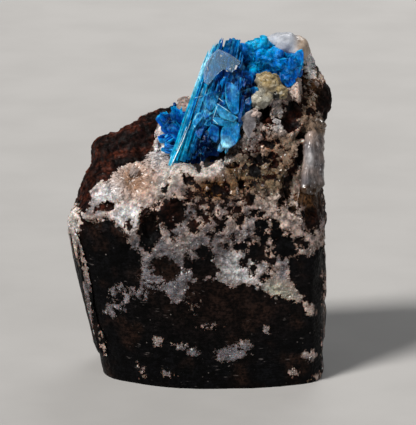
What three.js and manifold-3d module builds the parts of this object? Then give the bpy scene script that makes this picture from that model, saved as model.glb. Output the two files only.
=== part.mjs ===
// A hand-sized mineral specimen: a block of basalt with a hollow in its top, lined with pale
// zeolite crystals, from which sprays of blue cavansite blades grow.
// Millimetres, +Z up, +X to the right and +Y to the back. The origin is the middle of the sawn base.

import * as THREE from "three";
import { ImprovedNoise } from "three/addons/math/ImprovedNoise.js";
import { mergeVertices } from "three/addons/utils/BufferGeometryUtils.js";
import Module from "manifold-3d";

const wasm = await Module();
wasm.setup();

// Driving dimensions of the block, in mm.
const HALF_WIDTH = 14.2; // at the shoulder, the block's widest level
// The right wall as [z, x]: it leans in above the shoulder and bulges again near the peak.
const RIGHT_WALL = [
  [-1, 14.1], [17, 14.1], [20, 13.6], [22, 12.6], [26, 12.8], [30, 14.4], [35, 14.6], [39, 13],
];
const BASE_LEFT = -10.9; // the left wall leans out from here...
const SHOULDER_HEIGHT = 17.4; // ...until this height
const FRONT_Y = -9.4; // the front wall bows forward to here
const BACK_Y = 9.4;
const SIMPLIFY = 0.11; // faces may move this far when they are merged into larger ones
const GAP = 0.3; // clearance between minerals that touch
const CRUST_THICKNESS = 1.5; // outer face of the zeolite lining above the basalt
const GRID = [18, 12, 15]; // faces of the block along X, Y and Z
const SPRIG_COUNT = 20; // crystals that stand on the lining...
const SPRIG_RIGHT = 11; // ...none of them further right than this

// Heights of the block's upper surface along four lines that run left to right, as [x, z] pairs.
const PROFILE_LINES = [
  {
    y: -9, // the top of the front face
    points: [
      [-14.6, 15.5], [-12, 17], [-8, 17.5], [-5, 20.5], [-2, 23.2], [3, 23.2], [7, 21], [10, 20],
      [14.6, 18.5],
    ],
  },
  {
    y: -2.5, // the floor of the hollow, and the face of the tall right wall
    points: [
      [-14.6, 18.2], [-11.4, 21.6], [-8, 23.2], [-4, 23.6], [0, 20.8], [3.5, 21.4], [6.5, 27], [9.5, 31],
      [12, 31], [14.6, 26.5],
    ],
  },
  {
    y: 3.5, // the ridge behind the hollow, which climbs to the peak
    points: [
      [-14.6, 18.6], [-11.8, 23.4], [-8.5, 26.4], [-5.5, 28], [-2, 30], [2, 30.8], [5, 32.6], [8, 35],
      [11, 36.8], [13.2, 36.6], [14.6, 34.6],
    ],
  },
  {
    y: 9.4, // the top of the back face
    points: [[-14.6, 14], [-9, 20.5], [-3, 23], [3, 25], [9, 28], [14.6, 23]],
  },
];

// Rusty knobs on the left ridge: middle, radius and height.
const KNOBS = [
  { x: -11.6, y: 0.6, radius: 1.9, height: 1.5 },
  { x: -8.6, y: 1.8, radius: 1.8, height: 1.6 },
  { x: -5.6, y: 2.6, radius: 1.7, height: 1.5 },
  { x: -2.6, y: 4, radius: 1.8, height: 0.9 },
  { x: -9.6, y: 5.6, radius: 2, height: 1.3 },
  { x: 6.5, y: 6.4, radius: 2, height: 1.4 },
];

const perlin = new ImprovedNoise();
const noiseAt = (p, frequency, shift = 0) =>
  perlin.noise(p.x * frequency + shift, p.y * frequency + shift * 1.7, p.z * frequency - shift);

// A seeded random number source, so that every build is the same.
function randomSource(seed) {
  let state = seed;
  return (low = 0, high = 1) => {
    state = (state + 0x6d2b79f5) | 0;
    let t = Math.imul(state ^ (state >>> 15), 1 | state);
    t = (t + Math.imul(t ^ (t >>> 7), 61 | t)) ^ t;
    return low + (((t ^ (t >>> 14)) >>> 0) / 4294967296) * (high - low);
  };
}

const { lerp, smoothstep, clamp } = THREE.MathUtils;
const at = (x, y, z) => new THREE.Vector3(x, y, z);

// ---- solids: between three.js geometry and closed bodies ----

// A geometry's vertices merged by position, with the faces that collapse at a pole left out.
function merged(geometry) {
  const bare = new THREE.BufferGeometry().setAttribute("position", geometry.getAttribute("position"));
  if (geometry.index) bare.setIndex(geometry.index);
  const joined = mergeVertices(bare, 1e-4);
  const faces = joined.index.array;
  const kept = [];
  for (let i = 0; i < faces.length; i += 3) {
    const [a, b, c] = faces.slice(i, i + 3);
    if (a !== b && b !== c && a !== c) kept.push(a, b, c);
  }
  return joined.setIndex(kept);
}

function solid(geometry) {
  const { attributes, index } = merged(geometry);
  return new wasm.Manifold(
    new wasm.Mesh({
      numProp: 3,
      vertProperties: attributes.position.array,
      triVerts: new Uint32Array(index.array),
    }),
  );
}

const joined = (solids) => wasm.Manifold.union(solids);
const largest = (body) => body.decompose().reduce((a, b) => (a.volume() > b.volume() ? a : b));

function geometryOf(body) {
  const mesh = body.getMesh();
  const geometry = new THREE.BufferGeometry();
  geometry.setAttribute("position", new THREE.BufferAttribute(mesh.vertProperties, 3));
  geometry.setIndex(new THREE.BufferAttribute(mesh.triVerts, 1));
  geometry.computeVertexNormals();
  return geometry;
}

// ---- the block ----

const heightLines = PROFILE_LINES.map(({ y, points }) => ({
  y,
  curve: new THREE.SplineCurve(points.map(([x, z]) => new THREE.Vector2(x, z))),
  points,
}));

// A broken line of [x, value] points, read at x.
function readLine(points, x) {
  const i = clamp(points.findIndex((p) => p[0] > x), 1, points.length - 1);
  const [[x0, v0], [x1, v1]] = [points[i - 1], points[i]];
  return lerp(v0, v1, clamp((x - x0) / (x1 - x0), 0, 1));
}

// The height of one profile line at x.
function lineHeight({ curve, points }, x) {
  const last = points.length - 1;
  let span = 0;
  while (span < last - 1 && x > points[span + 1][0]) span++;
  const along = clamp((x - points[span][0]) / (points[span + 1][0] - points[span][0]), 0, 1);
  return curve.getPoint((span + along) / last).y;
}

// The knobs' height above the profile lines at (x, y).
function knobHeight(x, y) {
  const share = (knob) => Math.exp(-(((x - knob.x) / knob.radius) ** 2) - ((y - knob.y) / knob.radius) ** 2);
  return KNOBS.reduce((sum, knob) => sum + knob.height * share(knob), 0);
}

// The height between the profile lines at (x, y), smooth from one line to the next.
function profileHeight(x, y) {
  const heights = heightLines.map((line) => lineHeight(line, x));
  const last = heightLines.length - 1;
  if (y <= heightLines[0].y) return heights[0];
  if (y >= heightLines[last].y) return heights[last];
  const span = heightLines.findIndex((line, i) => i < last && y <= heightLines[i + 1].y);
  const along = (y - heightLines[span].y) / (heightLines[span + 1].y - heightLines[span].y);
  return lerp(heights[span], heights[span + 1], smoothstep(along, 0, 1) * 0.5 + along * 0.5);
}

// The y of the front wall at u, which runs from -1 at the left to 1 at the right.
const frontWall = (u) => FRONT_Y + (u < 0 ? 3.4 : 1.8) * u * u;

// Where the unit cube's point (u, v, w) lies on the block.
function blockPoint({ x: u, y: v, z: w }) {
  const across = u * (1 - 0.1 * v ** 4); // rounds the vertical edges
  const deep = v * (1 - 0.08 * u ** 4);
  const back = BACK_Y - 1.6 * u * u;
  const y = lerp(frontWall(u), back, (deep + 1) / 2);
  const rim = 1.1 * (Math.abs(u) ** 12 + Math.abs(v) ** 12); // rounds the upper edges
  const top = profileHeight(HALF_WIDTH * across, y) + knobHeight(HALF_WIDTH * across, y) - rim;
  const z = ((w + 1) / 2) * top;
  const leaning = (smoothstep(z, 0, SHOULDER_HEIGHT) + clamp(z / SHOULDER_HEIGHT, 0, 1)) / 2;
  const left = lerp(BASE_LEFT, -HALF_WIDTH, leaning);
  const right = readLine(RIGHT_WALL, z);
  const x = lerp(left, right, (across + 1) / 2);
  return at(x, y, z);
}

// Broken rock is rough, and the sawn lower front and the base are nearly smooth.
function roughened(p) {
  const sawn = smoothstep(-p.y, 4, 7) * (1 - smoothstep(p.z, 11, 16));
  const joint = smoothstep(-p.x, 9, 11) * (1 - smoothstep(p.z, 15, 19));
  const rough = 1 - 0.8 * Math.max(sawn, joint);
  const grip = smoothstep(p.z, 0, 2.5); // the base stays flat
  const shift = at(noiseAt(p, 0.16, 3), noiseAt(p, 0.16, 11), noiseAt(p, 0.16, 23)).multiplyScalar(1.15);
  shift.add(at(noiseAt(p, 0.43, 5), noiseAt(p, 0.43, 17), noiseAt(p, 0.43, 29)).multiplyScalar(0.6));
  shift.multiplyScalar(rough * lerp(0.35, 1, grip));
  shift.z *= grip;
  return p.add(shift);
}

function blockGeometry() {
  const geometry = merged(new THREE.BoxGeometry(2, 2, 2, ...GRID));
  const position = geometry.getAttribute("position");
  const p = at(0, 0, 0);
  for (let i = 0; i < position.count; i++) {
    const q = roughened(blockPoint(p.fromBufferAttribute(position, i)));
    position.setXYZ(i, q.x, q.y, q.z);
  }
  geometry.computeVertexNormals();
  return geometry;
}

const block = blockGeometry();

// The block with its surface moved out by offset(point, normal) mm.
function skin(offset) {
  const grown = block.clone();
  const position = grown.getAttribute("position");
  const normal = block.getAttribute("normal");
  const p = at(0, 0, 0);
  const n = at(0, 0, 0);
  for (let i = 0; i < position.count; i++) {
    p.fromBufferAttribute(position, i);
    n.fromBufferAttribute(normal, i);
    p.addScaledVector(n, offset(p, n));
    position.setXYZ(i, p.x, p.y, p.z);
  }
  return solid(grown);
}

// A rough lump or pit, squashed to its radii.
function pebble({ centre, radii, seed = 1, detail = 1 }, grow = 0) {
  const geometry = merged(new THREE.IcosahedronGeometry(1, detail));
  const position = geometry.getAttribute("position");
  const p = at(0, 0, 0);
  for (let i = 0; i < position.count; i++) {
    p.fromBufferAttribute(position, i);
    p.multiplyScalar(1 + 0.28 * noiseAt(p, 1.4, seed * 7.3));
    p.multiply(at(...radii).addScalar(grow)).add(at(...centre));
    position.setXYZ(i, p.x, p.y, p.z);
  }
  return solid(geometry);
}

// Open gas holes in the right wall and the front face.
const PITS = [
  { centre: [7, -3.1, 30.4], radii: [1.1, 1.7, 1.5], seed: 7 },
  { centre: [10, -4.4, 30.4], radii: [1.8, 1.8, 2.2], seed: 8 },
  { centre: [11.6, -6.8, 27], radii: [0.9, 1.4, 2.3], seed: 9 },
  { centre: [10.3, -8.3, 23.2], radii: [1, 1.5, 2.5], seed: 20 },
  { centre: [-5, -8.8, 18.6], radii: [1.1, 1.2, 1.8], seed: 10 },
  { centre: [4.4, -7.6, 23.2], radii: [0.8, 0.9, 0.7], seed: 11 },
  { centre: [-3, 9.6, 15], radii: [2.2, 1.3, 1.6], seed: 12 },
  { centre: [5.5, 9.6, 9], radii: [1.5, 1.2, 1.3], seed: 13 },
  { centre: [14.3, 3, 11], radii: [1.1, 1.6, 1.3], seed: 14 },
];

const blockSolid = solid(block);
const pits = joined(PITS.map((pit) => pebble(pit)));

const basaltMatrix = () => blockSolid.subtract(pits);

// ---- the pale zeolite that lines the hollow ----

// How far back the lining reaches over the upper surface, as [x, y].
const LINING_BACK = [
  [-14.6, -4.5], [-12, -3], [-9, -1.8], [-6.5, -0.8], [-4.5, 1.4], [-2, 3.4], [4, 4.2], [9, 5], [12, 5.5],
  [14.6, 3],
];
// How far it reaches to the right at each height, as [z, x]: above it the dark wall is bare.
const LINING_RIGHT = [
  [14, 12], [19, 12.6], [22, 13], [26, 12.6], [29, 12.5], [33, 12.1], [36, 12.4], [40, 12.6],
];
// How far down the front it hangs, as [x, z].
const LINING_FOOT = [
  [-14.6, 18.8], [-12.6, 17.2], [-9, 16.2], [-7, 15.2], [-4.5, 20.2], [-1, 21.6], [3, 21.4], [6, 19],
  [10, 15.8], [14.6, 15],
];

// Thickness of the lining over the basalt at p, and below zero where there is none.
function liningThickness(p) {
  const inside = Math.min(
    readLine(LINING_BACK, p.x) - p.y,
    readLine(LINING_RIGHT, p.z) - p.x,
    p.z - readLine(LINING_FOOT, p.x) + 2 * Math.max(p.y - frontWall(p.x / HALF_WIDTH) - 1.2, 0),
  );
  const ragged = inside + 1.3 * noiseAt(p, 0.35, 41);
  const full = CRUST_THICKNESS * (1 + 0.45 * noiseAt(p, 0.5, 53));
  return clamp(ragged * 0.7, -0.5, 1) * full;
}

// A mineral skin over the basalt: what lies between a thickness and the clearance.
const coating = (thickness) => skin(thickness).subtract(skin(() => GAP));

// A prismatic crystal with a blunt point, from one end to the other, flattened across its spin.
function crystal({ from, to, width, thickness, spin = 0, sides = 6, point = 0.8 }, grow = 0) {
  const axis = at(...to).sub(at(...from));
  const length = axis.length() + grow;
  const profile = [[0, 0], [1, 0], [1, length - point * width], [0, length]];
  const lathe = new THREE.LatheGeometry(profile.map((p) => new THREE.Vector2(...p)), sides);
  lathe.scale(width / 2 + grow, 1, thickness / 2 + grow);
  lathe.rotateY(spin);
  lathe.applyQuaternion(new THREE.Quaternion().setFromUnitVectors(at(0, 1, 0), axis.normalize()));
  return solid(lathe.translate(...from));
}

// A tabular crystal seen flat: an angular outline, extruded, and turned to face its way.
function tablet({ centre, outline, thickness, tilt = 0, turn = 0, roll = 0 }, grow = 0) {
  const shape = new THREE.Shape(outline.map(([x, z]) => new THREE.Vector2(x, z)));
  const slab = new THREE.ExtrudeGeometry(shape, {
    depth: thickness + 2 * grow,
    bevelEnabled: grow > 0,
    bevelSize: grow,
    bevelThickness: 0.01,
    bevelSegments: 1,
  });
  slab.translate(0, 0, -thickness / 2 - grow);
  slab.rotateX(Math.PI / 2 - tilt);
  slab.rotateY(roll);
  slab.rotateZ(turn);
  return solid(slab.translate(...centre));
}

// Where other minerals stand on the lining, as [x, y, z, radius]: no sprig grows there.
const SPRIG_FREE = [
  [1.5, -2, 25, 6.5], [-2.5, 0, 29, 5], [7, -1, 33, 5], [10, 1, 36, 7], [13.5, -6, 26, 5],
];

// A short crystal that stands on the lining over the basalt at foot, leaning off the normal.
function sprig(foot, normal, lift, random) {
  const lean = at(random(-1, 1), random(-1, 1), random(-0.6, 1)).multiplyScalar(0.8);
  const tip = foot.clone().addScaledVector(normal.clone().add(lean).normalize(), lift + random(0.5, 1.3));
  return crystal({
    from: foot.toArray(),
    to: tip.toArray(),
    width: random(1, 1.8),
    thickness: random(0.6, 1),
    spin: random(0, Math.PI),
    sides: 4,
    point: 0.5,
  });
}

function sprigs() {
  const random = randomSource(7);
  const position = block.getAttribute("position");
  const normal = block.getAttribute("normal");
  const grown = [];
  while (grown.length < SPRIG_COUNT) {
    const i = Math.floor(random(0, position.count));
    const p = at(0, 0, 0).fromBufferAttribute(position, i);
    const n = at(0, 0, 0).fromBufferAttribute(normal, i);
    const lift = liningThickness(p);
    const taken = SPRIG_FREE.some(([x, y, z, radius]) => p.distanceTo(at(x, y, z)) < radius);
    if (taken || lift < 0.5 * CRUST_THICKNESS || p.x > SPRIG_RIGHT) continue;
    grown.push(sprig(p.addScaledVector(n, GAP + 0.2), n, lift, random));
  }
  return grown;
}

const zeoliteCrust = () =>
  joined([coating(liningThickness), ...sprigs()]).subtract(skin(() => GAP)).subtract(pits);

// The thin pale coat on the joint face at the left.
function leftCoatThickness(p, n) {
  const inside = Math.min(-0.55 - n.x, 0.25) * 8;
  const level = Math.min(p.z - 1.6, 18 - p.z, p.y + 6.2, 5.5 - p.y);
  return clamp(Math.min(inside, level) * 0.6 + 0.5 * noiseAt(p, 0.4, 61), -0.5, 1) * 0.75;
}

// ---- cavansite ----

// The leaning sheaf: its blades run from the lower outline to the upper one, [x, z] from left to right.
const SHEAF_LOWER = [[-3.2, 24.2], [-1.7, 24.8], [0.1, 25.8], [1.9, 26.9], [3.3, 27.8], [4.5, 29]];
const SHEAF_UPPER = [[2, 37.2], [2.9, 38.6], [4, 38.1], [5, 37.2], [5.5, 35.2], [5.6, 33]];
const SHEAF_LAYERS = [
  { lowerY: -4.9, upperY: -2.2, sink: 0 },
  { lowerY: -3.4, upperY: -1.1, sink: 1.6 },
  { lowerY: -1.6, upperY: 0.3, sink: 3.4 },
];
const TABLETS = [
  { centre: [3.6, -4, 32.4], size: [2.2, 3.8], tilt: 0.1, turn: 0.25, roll: 0.2 },
  { centre: [2.2, -4.6, 30.4], size: [2.8, 3], tilt: 0.15, turn: 0.1, roll: -0.3 },
  { centre: [3.3, -5, 28.1], size: [2.3, 3.2], tilt: 0.2, turn: 0.3, roll: 0.1 },
];

// An irregular eight-sided outline of the given width and height.
function plateOutline([width, height], seed) {
  const random = randomSource(seed);
  return Array.from({ length: 8 }, (_, i) => {
    const angle = (i / 8) * 2 * Math.PI + 0.35;
    const squareness = Math.max(Math.abs(Math.cos(angle)), Math.abs(Math.sin(angle)));
    const reach = random(0.82, 1.08) / squareness ** 0.6;
    return [(width / 2) * Math.cos(angle) * reach, (height / 2) * Math.sin(angle) * reach];
  });
}

function sheaf(grow = 0) {
  const random = randomSource(21);
  const blades = [];
  SHEAF_LAYERS.forEach(({ lowerY, upperY, sink }, layer) => {
    SHEAF_LOWER.forEach(([x0, z0], i) => {
      const [x1, z1] = SHEAF_UPPER[i];
      const short = layer * 0.5 + random(0, 1.2) * (i === 1 ? 0.3 : 1);
      blades.push(
        crystal(
          {
            from: [x0 + random(-0.2, 0.2), lowerY + random(-0.2, 0.2), z0 - sink - random(0, 0.5)],
            to: [x1 + random(-0.2, 0.2), upperY + random(-0.2, 0.2), z1 - short],
            width: random(1.7, 2.3),
            thickness: random(1.2, 1.6),
            spin: random(-0.5, 0.5),
            point: random(0.4, 0.9),
          },
          grow,
        ),
      );
    });
  });
  const tablets = TABLETS.map(({ size, ...place }, i) =>
    tablet({ ...place, outline: plateOutline(size, 31 + i), thickness: 0.8 }, grow),
  );
  return joined([...blades, ...tablets]);
}

// A ball of blades: an intergrown middle, and the free ends that stand out of it around the aim.
function rosette({ hub, heart, count, seed, reach, width, aim, spread }, grow = 0) {
  const random = randomSource(seed);
  const lead = at(...aim).normalize();
  const parts = [pebble({ centre: hub, radii: heart, seed }, grow)];
  while (parts.length <= count) {
    const way = at(random(-1, 1), random(-1, 1), random(-1, 1));
    if (way.length() > 1 || way.normalize().angleTo(lead) > spread) continue;
    const length = heart[0] * Math.abs(way.x) + heart[1] * Math.abs(way.y) + heart[2] * Math.abs(way.z);
    parts.push(
      crystal(
        {
          from: hub,
          to: at(...hub).addScaledVector(way, length + random(...reach)).toArray(),
          width: random(...width),
          thickness: random(0.8, 1.2),
          spin: random(0, Math.PI),
          sides: 4,
        },
        grow,
      ),
    );
  }
  return joined(parts);
}

// Hub, radii of the intergrown middle, number of free ends, how far they stand out, and where they aim.
const LEFT_FAN = {
  hub: [-1.8, -1.6, 28.6],
  heart: [1.4, 1.3, 1.9],
  count: 9,
  seed: 3,
  reach: [0.5, 1.2],
  width: [1.5, 2.1],
  aim: [-1, -0.5, 0.5],
  spread: 1.1,
};
const REAR_ROSETTE = { reach: [0.1, 0.7], width: [1.6, 2.2], spread: 1.15 };
const REAR_HUBS = [
  { hub: [6.8, 0, 35.6], heart: [1.6, 1.5, 1.7], count: 9, seed: 5, aim: [-0.3, -0.6, 1] },
  { hub: [8.6, -0.5, 34.7], heart: [1.4, 1.3, 1.5], count: 3, seed: 6, aim: [0, -1, 0.6] },
  { hub: [10.1, -0.8, 34.2], heart: [1.6, 1.4, 1.8], count: 8, seed: 8, aim: [0.2, -1, 0.1] },
  { hub: [5.9, -0.9, 32], heart: [1.3, 1.3, 2.6], count: 6, seed: 13, aim: [0.1, -0.8, 0.4] },
];

const frontSpray = (grow = 0) => joined([sheaf(grow), rosette(LEFT_FAN, grow)]);
const rearSpray = (grow = 0) => joined(REAR_HUBS.map((hub) => rosette({ ...REAR_ROSETTE, ...hub }, grow)));

// ---- single crystals of other minerals ----

const CAP = [
  { centre: [9.2, 1.9, 36.5], radii: [2.2, 2.2, 1.8], seed: 15, detail: 1 },
  { centre: [11, 2, 36], radii: [1.6, 1.9, 1.7], seed: 16, detail: 1 },
];
const HONEY = [
  { centre: [7.9, -2.7, 33.3], radii: [1.7, 1.4, 1.5], seed: 17, detail: 0 },
  { centre: [9, -3, 32.2], radii: [1.4, 1.3, 1.2], seed: 18, detail: 0 },
  { centre: [7, -3.3, 31.8], radii: [1.5, 1.3, 1.5], seed: 19, detail: 0 },
];
const CLEAR_PLATE = {
  centre: [2.5, -3.7, 35.6],
  tilt: 0.12,
  turn: 0.15,
  roll: 0.1,
  thickness: 0.5,
  outline: [
    [-1.7, -1.9], [-0.6, -1.1], [0.2, -1.3], [1, -0.9], [1.9, 0.2], [0.6, 1.5], [-0.4, 1.9], [-1.3, 1.2],
  ],
};

const cap = (grow = 0) => joined(CAP.map((lump) => pebble(lump, grow)));
const honey = (grow = 0) => joined(HONEY.map((lump) => pebble(lump, grow)));

// The upright sheaf of clear laths at the right edge.
function rightSheaf(grow = 0) {
  const random = randomSource(44);
  return joined(
    Array.from({ length: 6 }, (_, i) => {
      const along = i / 5;
      return crystal(
        {
          from: [lerp(11.8, 13.4, along), lerp(-8.2, -5.8, along), random(21.6, 22.4)],
          to: [lerp(12.4, 13.6, along), lerp(-5.6, -3.4, along), random(28.8, 30.6)],
          width: random(1.2, 1.7),
          thickness: random(0.9, 1.3),
          spin: random(0, Math.PI),
          sides: 4,
        },
        grow,
      );
    }),
  );
}

// ---- the pieces, each clear of those that it grew on ----

const overLining = skin((p) => Math.max(liningThickness(p), 0) + GAP);
const clearOf = (body, ...others) => others.reduce((left, other) => left.subtract(other), body);
const tidied = (body) => largest(largest(body).simplify(SIMPLIFY));
const grownOn = (body, ...others) => clearOf(body, overLining, ...others);

// Each node's solid, colour and roughness.
const pieces = {
  basalt_matrix: [basaltMatrix(), 0x2c211e, 0.9],
  zeolite_crust: [zeoliteCrust(), 0xcdbfb4, 0.55],
  left_face_crust: [clearOf(coating(leftCoatThickness), overLining), 0xa99f9b, 0.5],
  cavansite_front_spray: [grownOn(frontSpray()), 0x0a6fb5, 0.25],
  cavansite_rear_spray: [grownOn(rearSpray(), frontSpray(GAP)), 0x0763ac, 0.3],
  stilbite_cap: [grownOn(cap(), rearSpray(GAP)), 0xd9dbe2, 0.4],
  honey_zeolite_cluster: [grownOn(honey(), rearSpray(GAP), frontSpray(GAP)), 0xc9b684, 0.35],
  right_stilbite_sheaf: [grownOn(rightSheaf()), 0xcfc6c0, 0.25],
  clear_stilbite_plate: [grownOn(tablet(CLEAR_PLATE), frontSpray(GAP), rearSpray(GAP)), 0xd5dce6, 0.1],
};

const specimen = new THREE.Group();
for (const [name, [body, color, roughness]] of Object.entries(pieces)) {
  const material = new THREE.MeshStandardMaterial({ color, roughness, metalness: 0 });
  const mesh = new THREE.Mesh(geometryOf(tidied(body)), material);
  mesh.name = name;
  specimen.add(mesh);
}

export default specimen;
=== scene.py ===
"""The looks of a cavansite specimen: a basalt block whose hollow holds blue blades on pale zeolite.

The meshes are made as arrays in millimetres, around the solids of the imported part, and turned into
metres when an object is made. +Z is up, and the photograph looks along +Y, from a little above.
"""

import itertools
import math

import bpy
import numpy as np
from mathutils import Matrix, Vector
from mathutils.bvhtree import BVHTree


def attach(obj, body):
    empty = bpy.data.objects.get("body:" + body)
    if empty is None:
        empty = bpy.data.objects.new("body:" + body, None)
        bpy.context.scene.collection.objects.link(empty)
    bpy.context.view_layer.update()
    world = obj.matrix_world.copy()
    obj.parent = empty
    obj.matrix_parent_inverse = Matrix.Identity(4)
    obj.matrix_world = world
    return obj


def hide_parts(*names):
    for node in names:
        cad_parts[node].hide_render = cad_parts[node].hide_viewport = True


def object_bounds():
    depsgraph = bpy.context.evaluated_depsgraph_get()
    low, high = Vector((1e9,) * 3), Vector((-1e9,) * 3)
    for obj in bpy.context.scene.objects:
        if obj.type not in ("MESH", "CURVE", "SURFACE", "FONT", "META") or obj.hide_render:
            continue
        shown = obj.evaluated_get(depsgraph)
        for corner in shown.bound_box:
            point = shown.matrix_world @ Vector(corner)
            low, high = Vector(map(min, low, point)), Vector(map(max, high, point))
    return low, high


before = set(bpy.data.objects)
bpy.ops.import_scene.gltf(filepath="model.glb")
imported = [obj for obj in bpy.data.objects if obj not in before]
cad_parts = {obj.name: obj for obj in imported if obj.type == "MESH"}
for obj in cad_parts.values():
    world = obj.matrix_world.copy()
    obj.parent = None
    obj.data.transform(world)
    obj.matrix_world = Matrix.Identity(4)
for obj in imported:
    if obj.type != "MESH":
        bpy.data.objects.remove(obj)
cad_box = [list(corner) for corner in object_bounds()]

MM = 0.001
BODY = "root"

# ---- the photograph's view ----

PHOTO_SIZE = (416, 425)  # pixels
PIXEL = 0.1124  # mm across one pixel, at the specimen
FOOT_PIXEL = (198, 388)  # where the point (0, FOOT_Y, 0) is seen
FOOT_Y = -9.5
ELEVATION = math.radians(15)
DISTANCE = 450  # mm from the camera to the specimen


def seen(points):
    """The pixels of the photograph at which points are seen."""
    up = points[:, 2] * math.cos(ELEVATION) + (points[:, 1] - FOOT_Y) * math.sin(ELEVATION)
    return np.stack([FOOT_PIXEL[0] + points[:, 0] / PIXEL, FOOT_PIXEL[1] - up / PIXEL], 1)


def placed(px, py, y):
    """The point at depth y that is seen at a pixel."""
    up = (FOOT_PIXEL[1] - py) * PIXEL - (y - FOOT_Y) * math.sin(ELEVATION)
    return np.array([(px - FOOT_PIXEL[0]) * PIXEL, y, up / math.cos(ELEVATION)])


# ---- noise and fields ----

GRADIENTS = np.random.default_rng(1).normal(size=(64, 3))
GRADIENTS /= np.linalg.norm(GRADIENTS, axis=1)[:, None]
CORNERS = np.array(list(itertools.product((0, 1), repeat=3)))
NEIGHBOURS = np.array(list(itertools.product((-1, 0, 1), repeat=3)))
CELL_FACTORS = np.array([374761393, 668265263, 1440662683])
SEED_FACTOR = 974634777
STIR_FACTOR = 1274126177
STIR_BITS = 0x7FFFFFFF
HASHES = 0xFFFF  # the highest hashed number
NOISE_GAIN = 1.7  # brings the noise to about -1 to 1
FINER = 2.03  # how much finer each layer of noise is than the one before


def hashed(cells, seed):
    """A scrambled whole number for each cell of a grid."""
    number = cells @ CELL_FACTORS + seed * SEED_FACTOR
    number = (number ^ (number >> 13)) * STIR_FACTOR & STIR_BITS
    return (number ^ (number >> 16)) & HASHES


def perlin(points, seed=0):
    """Gradient noise, from about -1 to 1, with features about one unit across."""
    cells = np.floor(points).astype(np.int64)
    inside = points - cells
    fade = inside**3 * (inside * (inside * 6 - 15) + 10)
    total = np.zeros(len(points))
    for corner in CORNERS:
        slope = GRADIENTS[hashed(cells + corner, seed) % len(GRADIENTS)]
        share = np.where(corner, fade, 1 - fade).prod(axis=1)
        total += ((inside - corner) * slope).sum(axis=1) * share
    return total * NOISE_GAIN


def fractal(points, size, octaves=3, seed=0, ridged=False):
    """Layers of noise, the largest with features of a size in mm."""
    total, weight, scale = np.zeros(len(points)), 1.0, 1.0 / size
    for layer in range(octaves):
        value = perlin(points * scale, seed + layer)
        total += weight * (0.5 - 1.2 * np.abs(value) if ridged else value)
        weight, scale = weight * 0.5, scale * FINER
    return total


def cellular(points, size, seed=0):
    """Distances to the nearest and second nearest of scattered seeds, in cells, and the nearest's number."""
    points = points / size
    cells = np.floor(points).astype(np.int64)
    first = np.full(len(points), np.inf)
    second = first.copy()
    owner = np.zeros(len(points), np.int64)
    for step in NEIGHBOURS:
        cell = cells + step
        jitter = np.stack([hashed(cell, seed + axis) for axis in (11, 12, 13)], 1) / HASHES
        away = np.linalg.norm(cell + jitter - points, axis=1)
        nearer = away < first
        second = np.where(nearer, first, np.minimum(second, away))
        owner = np.where(nearer, hashed(cell, seed + 14), owner)
        first = np.where(nearer, away, first)
    return first, second, owner


def smoothstep(low, high, value):
    """From 0 at low to 1 at high, with a soft start and end."""
    share = np.clip((value - low) / (high - low), 0, 1)
    return share * share * (3 - 2 * share)


def ellipse(pixels, px, py, rx, ry, tilt=0.0):
    """About how far, in mm, pixels lie inside an ellipse, and below zero outside."""
    cosine, sine = math.cos(math.radians(tilt)), math.sin(math.radians(tilt))
    dx, dy = pixels[:, 0] - px, pixels[:, 1] - py
    reach = np.hypot((dx * cosine + dy * sine) / rx, (dy * cosine - dx * sine) / ry)
    return (1 - reach) * min(rx, ry) * PIXEL


def soft_spot(pixels, px, py, rx, ry, tilt=0.0):
    """From 1 in the middle of an ellipse to about a third at its rim."""
    reach = 1 - ellipse(pixels, px, py, rx, ry, tilt) / (min(rx, ry) * PIXEL)
    return np.exp(-(reach**2))


def deepest(pixels, ellipses):
    """How far, in mm, pixels lie inside any of several ellipses."""
    return np.max([ellipse(pixels, *shape) for shape in ellipses], axis=0)


def strongest(pixels, spots):
    """The highest value that any of several soft spots has at pixels."""
    return np.max([soft_spot(pixels, *spot) for spot in spots], axis=0)


def polygon_depth(pixels, corners):
    """How far, in mm, pixels lie inside a polygon, and below zero outside."""
    nearest = np.full(len(pixels), np.inf)
    inside = np.zeros(len(pixels), bool)
    for start, end in zip(corners, corners[1:] + corners[:1]):
        start, end = np.array(start, float), np.array(end, float)
        edge, offset = end - start, pixels - start
        along = np.clip((offset @ edge) / (edge @ edge), 0, 1)
        nearest = np.minimum(nearest, np.linalg.norm(offset - along[:, None] * edge, axis=1))
        if edge[1]:
            crosses = (start[1] > pixels[:, 1]) != (end[1] > pixels[:, 1])
            level = edge[0] * offset[:, 1] / edge[1] + start[0]
            inside ^= crosses & (pixels[:, 0] < level)
    return np.where(inside, nearest, -nearest) * PIXEL


def mixed(base, colour, share):
    """Colours moved towards one colour, or one for each, by a share for each."""
    return np.asarray(base) + (np.array(colour) - base) * np.clip(share, 0, 1)[:, None]


# ---- meshes as arrays ----


def unit(vectors):
    """Vectors made one long."""
    return vectors / np.maximum(np.linalg.norm(vectors, axis=-1, keepdims=True), 1e-9)


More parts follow.
